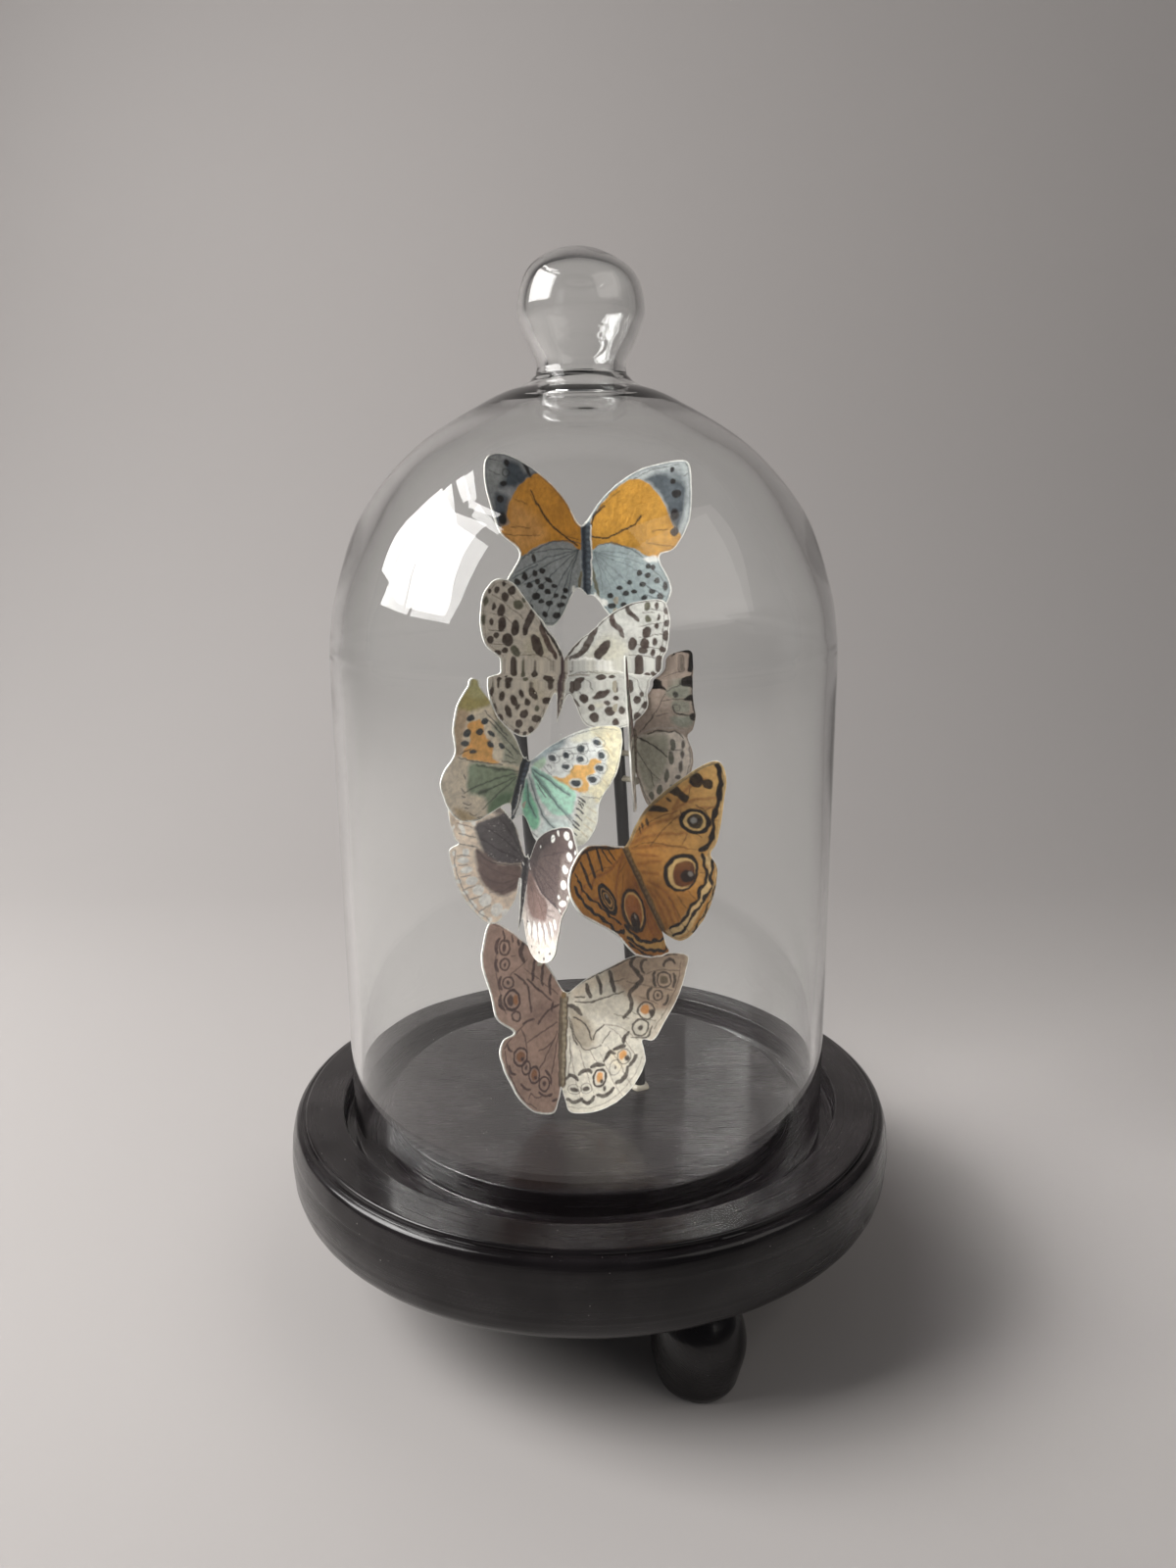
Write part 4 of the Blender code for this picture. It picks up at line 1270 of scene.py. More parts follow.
def print_leopard(sheet, paper):
    """Creamy wings with long dark-brown leopard spots."""
    # The left ground is painted warmer and a shade darker: painted shade with a painted reddish bounce
    # light.
    sheet.side(1, (0.60, 0.595, 0.555))
    sheet.side(-1, (0.60, 0.535, 0.455))
    sheet.patch([(9, 6.5), (13, 9), (12, 12), (8, 13), (5, 7.5)], (0.62, 0.59, 0.46), 2.5, 0.6)
    sheet.patch([(-9, 11), (-5.5, 12), (-4, 6.6), (-9, 6.6)], (0.50, 0.45, 0.33), 1.6, 0.6)
    sheet.patch([(-6.5, 2), (-3, -0.5), (-5, -2), (-7, 0)], (0.52, 0.46, 0.33), 1.6, 0.5)
    sheet.patch([(7.6, -0.8), (9.6, -0.5), (9.4, -1.3), (7.8, -1.6)], (0.55, 0.52, 0.40), 0.8, 0.6)
    sheet.watery(0.90, 1.07)
    costa_left = [(-0.7, 6.3), (-2.0, 9.0), (-4.0, 11.8), (-6.6, 14.6), (-8.6, 16.9)]
    sheet.strokes([costa_left], (0.030, 0.022, 0.022), 0.95)
    sheet.strokes([[(-8.4, 16.8), (-11, 19.6), (-13.4, 21.3), (-16.0, 21.8)], [(0.7, 6.8), (1.9, 9.8),
        (5.2, 14.1), (8.4, 17.2), (12, 19.6), (15.8, 21.2), (18, 21.4)]], UMBER, 0.24)
    sheet.strokes([[(-2.0, 6.3), (-3.9, 9.0), (-5.6, 11.8), (-6.4, 13.4)]], (0.085, 0.048, 0.040), 1.25)
    sheet.strokes([[(1.3, 6.2), (3.6, 8.4), (4.7, 11.2), (5.5, 14.6)]], UMBER, 1.45, 0.2)
    sheet.strokes([[(0.9, 7.0), (1.9, 9.4), (3.7, 12.3)]], UMBER, 0.38)
    sheet.strokes([[(8.4, 17.3), (8.8, 15.9), (10.5, 14.8), (11.6, 13.3)]], (0.085, 0.058, 0.050), 1.05)
    sheet.strokes([[(11.2, 19.3), (12.0, 18.1), (13.2, 17.5), (14.0, 16.8)]], UMBER, 1.05)
    sheet.strokes([[(-8.5, 16.8), (-8.7, 15), (-9.5, 13.2), (-9.7, 11.7)]], (0.050, 0.030, 0.026), 1.45)
    brown = [(7.7, 9.5, .95, 2.5, 22), (13.7, 12, .7, 1.2), (16.1, 14.7, .7, .9), (16.2, 12.6, .8, .9),
        (16, 11, .8, .7), (15.4, 8.4, .8, 1.2), (17.2, 20.3, .25, .6), (18, 18, .16, .6), (18, 16, .3, .5),
        (18.2, 13.2, .3, .6), (18, 10.8, .3, .8), (17.3, 7.6, .45, .5), (18.4, 8.0, .3, .6),
        (19.4, 19.6, .5, .5), (20, 16.9, .55, .7), (20.2, 14.5, .5, .7), (19.9, 12, .6, .5),
        (19.5, 9.5, .6, .7), (18.8, 7.5, .4, .6), (8.1, 4.9, .95, 1.3), (10.3, 5.5, .5, .8),
        (3.7, 2.8, .75, 1.6, 22), (2.4, 1.3, .45, .6), (8.7, 1.3, .65, 1.8, 55), (5.2, -.2, .85, .9),
        (10.2, -.3, .6, .4), (11.8, 1.1, .4, .4), (11.4, 2.9, .3, .4), (7, -1.9, .7, .5),
        (11, -1.9, .9, .8), (7.9, -3.7, .9, .9), (12.4, -3.9, .6, .6), (14.3, 3.6, .6, .8),
        (16.1, 1.5, .65, .65), (18, .6, .6, .6), (16.8, -1.9, .7, .8), (15, -1.2, .4, .5),
        (16.9, 2.9, .3, .4), (13.4, -1.2, .5, .7), (-6.7, 9, 1.0, 2.9, -28), (-13.6, 19.8, .8, .9),
        (-14.9, 18.3, .7, .9), (-15.3, 15.5, .7, 1.1), (-14.8, 12.9, .8, 1.3), (-11.9, 12.4, .8, 1.5),
        (-13.2, 9.9, 1.0, 1.4, -15), (-13.4, 7.4, .6, .7), (-15.7, 10.6, .5, .6), (-17, 13.2, .35, .6),
        (-16.9, 16.2, .3, .7), (-15.5, 21, .35, .5), (-16.8, 19.6, .4, .6), (-16.9, 9.6, .65, .8),
        (-14.9, 6.8, .8, .5), (-18.2, 19.2, .3, .5), (-11.2, 4.6, .6, 1.3, -12), (-6.6, 4.3, .6, 1.2),
        (-3.2, 2.6, 1.0, 1.8, -35), (-14, 1.6, .4, .9), (-11.9, 1.6, .75, 1), (-8.9, -.4, .45, .9, -25),
        (-6.2, -.3, .65, 1.6, -38), (-13, -1.1, .55, 1.0), (-10.3, -1.9, .6, 1.3, -28),
        (-7.3, -2.2, .6, .8, -20), (-9.3, -3.3, .3, .6, 20), (-11.2, -4.2, .55, 1.4, -25),
        (-7.7, -4.7, .85, .85), (-4.8, -5.6, 1.0, .7), (-8.4, -6.7, .75, .8), (-5.7, -7.9, .6, .7),
        (-2.8, -1.7, 1.1, .7), (-12.6, 3, .2, .45), (-15.3, -.3, .35, 1.0), (-14.2, -3.6, .4, .9, -25),
        (-12.6, -5.5, .4, .8, -35), (-8.8, -8.4, .7, .4), (-7.0, -8.7, .4, .4)]
    sheet.spots([place for place in brown if place[0] > 0], UMBER, 0.18, grow=0.17)
    sheet.spots([place for place in brown if place[0] < 0], UMBER, 0.18, grow=0.09)
    green = [(15.4, 19.9, .65, .85), (15.9, 17.4, .7, .85), (-18.7, 13.4, .5, 1.0), (-18.7, 17, .5, .9),
        (-11.9, 17, 1.1, .9, 30), (-10.7, 18.3, .6, .8), (-11.2, 7.3, .85, 1.6, -35), (-9.1, 4.3, .5, 1.4),
        (-8.3, 2, .6, .9), (-5, -3.5, .6, .6)]
    sheet.spots(green, (0.125, 0.118, 0.080), 0.25)
    veins = [[(14.2, 18.4), (17, 18.9)], [(14.3, 15.6), (17, 16.3), (20, 17)], [(14.8, 13.5), (17.4, 14.2),
        (20.3, 14.9)], [(13.9, 12), (17, 12.1), (20.5, 11.9)], [(13.2, 9.3), (16, 9.6), (20, 9.8)],
        [(15.8, 19.4), (20, 19.6)], [(18.6, 21), (19.3, 17), (19.7, 13), (19.3, 9), (18.6, 6.9)],
        [(-14.1, 18.9), (-12.3, 18)], [(-17.8, 14.8), (-14.6, 14.4), (-12.5, 13.2)], [(-14.4, 16.7),
        (-12, 15.4), (-10.4, 14.4)], [(-17.4, 11.6), (-14, 11.7)], [(-16.6, 8.8), (-13.4, 8.8)],
        [(-17.6, 18.6), (-14.6, 17.0)], [(1.3, 4.5), (2.6, 5.8), (5.5, 6.5), (11, 6.9)], [(2.0, 4.2),
        (5, 3.2), (6.8, 2.0)], [(4.0, 1.2), (5.3, -0.2)], [(-10.2, 6.4), (-6.2, 6.6), (-2.2, 5.5)],
        [(-1.6, 3.5), (-4.0, 3.8)], [(13, 6.7), (16.4, 4.2), (17.6, 1.4), (16.8, -1), (15.2, -3.6)],
        [(15.2, 1.0), (17.2, 2.6)], [(-15.4, 2.2), (-14.9, -2.2), (-12.6, -6), (-9.6, -8.2)], [(-3.2, -3.2),
        (-3.9, -6.6), (-5.4, -8.6)]]
    sheet.strokes(veins, UMBER, 0.17, amount=0.85)
    sheet.outline(UMBER, 0.30, 0.16, 0.8, 1)
    sheet.outline(UMBER, 0.75, 0.14, 0.6, -1)
    sheet.strokes([[(1.8, -0.3), (3.2, -1), (4.4, -2.0)], [(-3.4, -1.8), (-1.6, -1.2), (-0.8, -0.1)]],
        UMBER, 0.6)
    sheet.strokes([[(1.3, 4.3), (3.0, 5.3), (5.4, 5.6)]], (0.24, 0.20, 0.17), 0.8, 0.3, 0.8)
    sheet.strokes([[(1.0, 5.9), (4, 6.9), (8, 7.3), (11.6, 7.6), (18.2, 6.7)]], sheet.white, 0.34)
    sheet.body(6.4, -5.6, 0.80, (0.105, 0.070, 0.072), (0.52, 0.47, 0.40), (0.45, 0.41, 0.36))
    sheet.strokes([[(0.15, 5.6), (0.3, 1.2), (0.0, -1.0)], [(-0.5, -1.6), (-0.15, -4.8)], [(0.5, -1.2),
        (0.75, -3.2)]], (0.09, 0.062, 0.058), 0.30)
    sheet.strokes([[(0.85, 6.2), (1.0, 2.5), (0.75, -2.6)], [(-0.8, -1.8), (-0.6, -4.8)]], sheet.white,
        0.26)


def print_taupe(sheet, paper):
    """Taupe wings with a black tip margin, grey-green clouds and fine veins, the same on both sides."""
    ink = tuple(paper.ink)
    # The left ground is painted darker than the right: painted shade on the left wings.
    sheet.side(1, (0.37, 0.295, 0.245))
    sheet.side(-1, (0.25, 0.175, 0.155))
    green = (0.25, 0.275, 0.225)
    for flip in (False, True):
        sheet.patch([(6.9, 12.2), (8.6, 13.4), (11.2, 13.2), (11.2, 10.6), (9, 10.2), (7.2, 10.8)], green,
            0.8, 0.75, flip)
        sheet.patch([(8, 9.8), (9.6, 9.9), (11.3, 9.6), (11.2, 7.6), (9.2, 7.4), (8, 8.2)], green, 0.8, 0.7,
            flip)
        sheet.patch([(7.6, 6.6), (9.6, 6.8), (11.6, 6.6), (11.6, 4.9), (9.6, 4.5), (8, 5.4)], green, 0.7,
            0.8, flip)
        sheet.patch([(0.4, 2.4), (3, 3.2), (6, 3.6), (9.6, 3.2), (10.9, 1), (11.1, -3), (9, -8.4),
            (5.4, -11.4), (2.6, -11.2), (0.8, -6), (0.2, -1)], (0.72, 0.64, 0.56), 0.3, 1.0, flip)
        sheet.patch([(0.2, 2.3), (3, 3.1), (6, 3.4), (7.2, 2), (6.9, -1.2), (6.1, -4.4), (4.6, -6.2),
            (2.6, -8.8), (0.9, -5), (0.2, -1)], (0.37, 0.36, 0.28), 1.2, 0.85, flip)
    sheet.watery(0.86, 1.12)
    for flip in (False, True):
        sheet.patch([(8.2, 18.0), (8.9, 19.6), (10.6, 20.2), (12.6, 18.8), (11.9, 16.4), (11.0, 16.9),
            (11.5, 18.3), (10.4, 19.2), (9.3, 18.9)], ink, 0.18, 1.0, flip)
        sheet.strokes([[(12.2, 18.6), (11.9, 14.5), (11.9, 10.4), (12.3, 6.4)]], ink, 0.36, mirror=flip)
        sheet.patch([(3.2, 12.8), (4.2, 14.1), (5.4, 13.6), (6.5, 13.0), (7.0, 12.2), (5.8, 12.7),
            (4.4, 12.5)], ink, 0.16, 1.0, flip)
        sheet.patch([(9.8, 13.2), (11.8, 14.6), (12.0, 12.6), (11.2, 12.8)], ink, 0.16, 1.0, flip)
        sheet.patch([(10.2, 10.0), (11.6, 11.2), (12.2, 9.6), (11.0, 9.8)], ink, 0.16, 1.0, flip)
        sheet.patch([(11.2, 7.0), (12.2, 7.2), (12.2, 5.8), (11.6, 6.0)], ink, 0.16, 1.0, flip)
        sheet.strokes([[(2.4, 10.6), (4.2, 13.8), (6.6, 17.8), (8.4, 19.2)], [(8.2, 8.6), (8.5, 7.4),
            (10, 7.0), (11.9, 6.8)], [(0.5, 2.8), (3, 1.6), (5, 0.1), (6.6, -1.4)], [(2.8, 3.2), (5, 3.9),
            (7, 3.6), (8.8, 3.5), (9.9, 2.4)]], ink, 0.30, mirror=flip)
        sheet.strokes([[(2.0, 4.3), (4.5, 7.4), (5.6, 9.4), (6.6, 11.3)], [(0.3, 0.5), (2, -2.6),
            (3.4, -4.4), (5, -5.9)], [(7, 12), (9, 13), (10.9, 13.2)], [(6.5, 14.2), (8, 15.6),
            (9.7, 16.7)], [(3.2, -4), (3.6, -7.4)], [(6.0, 9.9), (8.2, 10.2), (10.6, 10.0)], [(4.8, 6.8),
            (7.2, 7.3)], [(1.2, 3.4), (4.4, 7.0)], [(10.8, 1.9), (11.0, -0.5), (10.7, -3.6), (9.2, -7.2)],
            [(0.6, -5.2), (2, -9.4), (3, -10.9)], [(6.6, 0.1), (9.4, 0.0)]], ink, 0.18, amount=0.85,
            mirror=flip)
        sheet.strokes([[(0.9, 2.8), (3.6, 4.2), (6, 4.4), (8.6, 4.2), (10.2, 3.6)]], (0.42, 0.36, 0.32),
            0.3, mirror=flip)
        sign = -1 if flip else 1
        marks = [(7.8, 1, .45, 1.0), (7.4, -1.5, .5, 1.2), (6.3, -5.2, .4, 1.2, 10), (4.8, -8, .5, .9, 20),
            (3.2, -9.2, .5, .7)]
        sheet.spots([(sign * x, *rest) for x, *rest in marks], (0.15, 0.155, 0.12), 0.2)
        sheet.rings([(sign * x, *rest) for x, *rest in marks], ink, 0.10, amount=0.8)
        blots = [(9.7, 1, .35, .9, 8), (9.5, -.9, .35, .8), (9.2, -3.3, .42, 1.2, 8), (8.5, -5.4, .5, .5),
            (7.4, -7.4, .5, .4), (8.6, 11.2, .55, .75)]
        sheet.spots([(sign * x, *rest) for x, *rest in blots], ink, 0.2, 0.85)
        sheet.rings([(sign * 9.9, 17.4, .55, .9), (sign * 8.8, 8.5, .75, .65)], ink, 0.16, amount=0.6)
        sheet.spots([(sign * 9.9, 17.4, .4, .7)], (0.12, 0.10, 0.085), 0.3, 0.7)
    sheet.strokes([[(-1, 4), (-4, 6.6), (-8, 8.4)], [(-1, 1), (-5, 1.4), (-9, 0.6)], [(-1.2, -2),
        (-4.6, -4), (-8, -6)], [(-2.2, 7.6), (-6, 12), (-9, 15)], [(-0.6, -4), (-2.4, -7), (-4.6, -9.6)]],
        (0.075, 0.042, 0.040), 0.75, 0.35, 0.8)
    sheet.body(4.1, -4.1, 0.55, (0.050, 0.036, 0.030), (0.20, 0.16, 0.12))


def print_mint(sheet, paper):
    """White forewings with an orange patch and ringed dots, mint hindwings with a cream margin."""
    ink = (0.026, 0.030, 0.036)
    mint = np.array(paper.mint)
    # The left ground is painted darker and warmer: painted shade with a painted reddish bounce light.
    sheet.side(1, (0.88, 0.90, 0.88))
    sheet.side(-1, (0.80, 0.70, 0.56))
    # Right forewing
    sheet.patch([(13, 14.3), (11.5, 16.6), (15, 18.2), (17.8, 18.6), (19.2, 13), (19.2, 8), (17.4, 2.6),
        (13.8, 2.7), (13.9, 4.8), (15.6, 6.2), (16.4, 8.6), (16.4, 11.4), (14.9, 13.3)], (0.90, 0.84, 0.62),
        0.9)
    sheet.patch([(8.2, 13), (9.6, 14.9), (13.5, 17.3), (13, 14.8), (10, 13)], (0.80, 0.78, 0.62), 1.0, 0.7)
    sheet.patch([(6.3, 4.7), (8.6, 5.2), (9.6, 6.5), (10.2, 8.5), (12.5, 9.1), (13.2, 10.6), (15.3, 11.2),
        (14.9, 8.7), (13.7, 7.0), (13.9, 3.7), (9.4, 3.7)], (0.93, 0.55, 0.19), 0.3)
    sheet.patch([(0.9, 6.4), (4.0, 10.6), (6.4, 12.9), (7.0, 11.6), (4.6, 8.4), (2.6, 6.2)],
        (0.33, 0.40, 0.43), 0.9, 0.9)
    sheet.patch([(1.8, 5.9), (3.6, 7.9), (4.3, 7.0), (3.4, 5.5)], (0.50, 0.68, 0.50), 0.6, 0.9)
    # Right hindwing
    sheet.patch([(1.6, 5.4), (5, 4.9), (8, 4.3), (11.6, 3.3), (12.2, 1.2), (12.1, -1.4), (9.2, -2.6),
        (7.4, -2.0), (5.4, -0.6), (3.4, 1.6)], mint, 0.5)
    sheet.patch([(1.2, 2.4), (2.4, 0.6), (5, -2.4), (6.3, -5.4), (5.2, -7.0), (3.6, -6.1), (2.1, -4.1),
        (1.2, -1)], mint * (0.52, 0.72, 0.60), 0.6)
    sheet.patch([(3.0, -1.6), (4.2, -3), (4.6, -4.4), (3.2, -3.6)], mint * (0.40, 0.60, 0.50), 0.6, 0.8)
    sheet.patch([(13.2, 3.6), (15.5, 3.4), (18.2, -1.6), (17.5, -4.8), (15.8, -7.3), (13.8, -5.4),
        (13.4, -3), (12.8, 0.6)], (0.86, 0.85, 0.74), 0.8)
    sheet.patch([(8, -3.5), (12, -3), (12.6, -6), (9, -7.6), (6.6, -7)], (0.76, 0.86, 0.84), 1.2, 0.9)
    # Left wings
    sheet.patch([(-11.8, 17.0), (-13.3, 19.4), (-17.0, 21.6), (-19.6, 16.5), (-19.4, 13.6), (-16, 15.0)],
        (0.46, 0.39, 0.17), 0.9)
    sheet.patch([(-13.5, 18.4), (-15, 20.4), (-17.6, 20.4), (-17, 18.2), (-15, 17.6)], (0.56, 0.53, 0.28),
        1.0, 0.8)
    sheet.patch([(-16.4, 14.8), (-19.4, 14.4), (-19.4, 9), (-17.2, 5.9), (-15.3, 6.6), (-16, 9),
        (-16.2, 12)], (0.56, 0.42, 0.29), 0.9)
    sheet.patch([(-15.9, 12.2), (-14, 13.4), (-12.6, 13.0), (-11.2, 10.5), (-9.0, 8.6), (-8.4, 6.2),
        (-6.4, 5.3), (-9, 5.0), (-14.6, 5.6), (-15.2, 7), (-14.4, 9), (-14.8, 10.6)], (0.86, 0.46, 0.150),
        0.35)
    sheet.patch([(-1.2, 7.2), (-4, 10.2), (-8.8, 13.8), (-10, 12.2), (-6.4, 8.6), (-5.6, 5.6), (-1.4, 5.0)],
        (0.36, 0.37, 0.29), 1.1, 0.9)
    sheet.patch([(-18.9, 4.4), (-19, -1), (-15.6, -5.6), (-12.2, -7.8), (-8, -7.7), (-5, -5.8),
        (-1.0, -3.4), (-0.6, 4.2), (-8, 4.9), (-16.6, 5.6)], (0.70, 0.61, 0.48), 0.2)
    sheet.patch([(-12.8, 4.8), (-8, 4.5), (-2.5, 4.2), (-0.8, 2), (-1.2, -2.7), (-4, -4.9), (-6, -5.5),
        (-7.6, -2.2), (-11.6, -1.4), (-12.9, 2)], (0.27, 0.33, 0.225), 1.0)
    sheet.patch([(-1.0, -0.8), (-2.2, -3.6), (-5.4, -5.5), (-6.2, -4.0), (-4.4, -1.4)],
        (0.125, 0.205, 0.115), 1.0, 0.9)
    sheet.patch([(-17.6, 3.6), (-18.4, 0.4), (-15.6, -4), (-12.4, -5.6), (-12.8, -1.6), (-14.2, 2)],
        (0.74, 0.64, 0.51), 1.6, 0.7)
    sheet.patch([(-14.4, -4.6), (-10.8, -5.4), (-8.6, -6.9), (-12, -7.2)], (0.48, 0.345, 0.18), 1.0, 0.85)
    sheet.watery(0.86, 1.08)
    dots = [(13.5, 14.1, .85, .6), (10.6, 11.9, .8, .65), (15, 11.9, .75, .7), (8, 9.8, .65, .65),
        (10.9, 9.9, .8, .6), (5.3, 8.4, .8, .55), (8.5, 7.5, .8, .6), (15.3, 9.3, .8, .65),
        (14.4, 6.7, .9, .65), (11.3, 5, 1.1, .6, -15), (-15.5, 13.6, .8, .7), (-12.2, 13.3, .75, .75),
        (-15.4, 10.6, .8, .8), (-12.6, 11.1, .8, .65), (-10, 11, .5, 1.0, -62), (-15.4, 8.5, .9, .65),
        (-9.6, 8.8, .55, 1.0, -58), (-13.1, 7.1, .9, .5), (-6.9, 8.7, .45, 1.0, -58)]
    right_dots = [dot for dot in dots if dot[0] > 0]
    sheet.spots(right_dots, (0.84, 0.86, 0.84), 0.3, 0.9, 0.38)
    sheet.rings([(x + 0.35, y + 0.1, wide + 0.42, tall + 0.36, *rest) for x, y, wide, tall,
        *rest in right_dots[:9]], (0.10, 0.11, 0.12), 0.11, amount=0.75)
    sheet.spots(dots, SLATE, 0.18)
    sheet.strokes([[(4.8, 9.9), (8.2, 11.4), (11.8, 13.4)], [(5.4, 8.6), (9.6, 10.7), (13.6, 12.4)],
        [(4.7, 6.5), (5.2, 6.9), (5.8, 6.3)], [(4.1, 6.1), (6.2, 5.0)], [(4.4, 10.5), (9, 14.4), (13, 16.7),
        (17, 17.7)], [(18.6, 12), (18.4, 7.5), (17.0, 3.2)], [(13.2, 2.9), (15.2, 3.1), (17, 3.4)]], ink,
        0.14, amount=0.8)
    sheet.strokes([[(12.6, 15.6), (14.6, 15.0)], [(14.8, 16.6), (16.6, 15.2)], [(15.6, 13.8), (17.6, 12.4)],
        [(16.6, 10.4), (18.2, 9.6)], [(16.2, 7.4), (17.8, 6.6)], [(15.0, 1.2), (17.0, 0.3)], [(15.2, -0.9),
        (17.4, -1.7)], [(15.2, -2.6), (17.2, -3.3)], [(15, -4.3), (16.6, -5.1)], [(14, 14.2),
        (15.6, 13.6)]], (0.52, 0.40, 0.20), 0.28, 0.3, 0.55)
    blue = (0.17, 0.27, 0.27)
    sheet.strokes([[(1.6, 5.2), (5, 4.3), (10.8, 2.2)], [(1.7, 4.7), (5.4, 2.3), (9.2, -0.6), (12.4, -2.2)],
        [(1.6, 3.6), (3.6, 0.4), (6.6, -3.6), (9.9, -5.5)], [(1.4, 2.4), (2.6, -1.2), (5.0, -4.2)]], blue,
        0.75, 0.5, 0.75)
    sheet.strokes([[(1.8, 5.0), (5.2, 4.0), (10.8, 2.1)], [(2.0, 4.4), (5.6, 1.9), (9.4, -0.9),
        (14.4, -3.9)], [(1.7, 3.2), (4.0, -0.4), (7.0, -3.9), (9.9, -5.6)], [(1.6, 1.8), (2.9, -1.6),
        (5.2, -4.2)], [(3.4, 2.6), (6.2, 0.2)], [(2.8, 3.6), (6.8, 0.6)], [(2.6, -5.2), (4.2, -7.1),
        (6.6, -8.3)]], ink, 0.2, amount=0.8)
    sheet.strokes([[(12.6, 2.3), (13.6, 2.2), (14.2, 1.7)], [(12.8, 1.8), (14.3, 1.1)], [(13, 1.2),
        (14.2, 0.4)], [(12.9, 0.1), (13.5, -0.1), (14.6, -0.5)], [(13, -1.2), (14.6, -2.0)], [(12.8, -2.5),
        (14.4, -3.2)], [(13, -3.3), (14.6, -4.1)], [(13.2, -4.6), (14.2, -5.4)]], ink, 0.36)
    dark_green = (0.060, 0.075, 0.055)
    sheet.strokes([[(-1.0, 3.4), (-5, 2.4), (-9.4, 0.4), (-12.6, -1.4)], [(-1.0, 3.8), (-5.4, 4.0),
        (-11.6, 4.3)], [(-1.4, 2.2), (-4.4, -0.8), (-7.6, -4.6)], [(-1.2, 2.8), (-6, 0.2), (-9.4, -1.4)]],
        dark_green, 0.42, 0.3, 0.85)
    sheet.spots([(-8.3, -0.9, .55, 1.4, 68), (-5.4, 3.9, .4, 1.8, 86)], dark_green, 0.5, 0.8)
    sheet.strokes([[(-13.9, 2.2), (-13.2, 1.3)], [(-13.6, -0.6), (-12.8, -1.2)], [(-13.2, -2.0),
        (-12.2, -2.3)], [(-12.4, -3.4), (-11.3, -3.9), (-10.6, -3.6)], [(-11.9, -4.6), (-10.8, -4.7)],
        [(-10.4, -5.6), (-9.2, -6.2), (-8.6, -5.8)], [(-8.2, -6.5), (-7.2, -6.2)], [(-12.2, 14.0),
        (-9.6, 12.4), (-5, 9.4), (-1.2, 7.0)], [(-12.8, 15.4), (-10, 13.4), (-6, 10.8)], [(-5.8, 8.4),
        (-3.4, 6.9)], [(-5.6, 7.2), (-3.0, 6.3)], [(-5.9, 5.7), (-2.4, 5.5)], [(-4.6, 9.2), (-2.4, 7.4)],
        [(-16, -4.6), (-12.4, -7.1), (-8.4, -7.0), (-5.4, -5.4), (-1.6, -3.2)], [(-15.8, 6.4),
        (-13.8, 7.6)], [(-16.4, 5.7), (-11, 5.0), (-5.6, 5.0)]], ink, 0.24, amount=0.85)
    sheet.body(6.9, -6.4, 0.72, (0.020, 0.022, 0.028), (0.10, 0.12, 0.155), (0.055, 0.07, 0.075))
    sheet.spots([(0, 6.6, .6, .75)], ink, 0.2)
    sheet.strokes([[(-1.15, -3.0), (-0.9, -5.6), (-0.35, -7.0)], [(0.35, 1.2), (0.55, -2.4), (0.3, -5.2)]],
        sheet.white, 0.24)


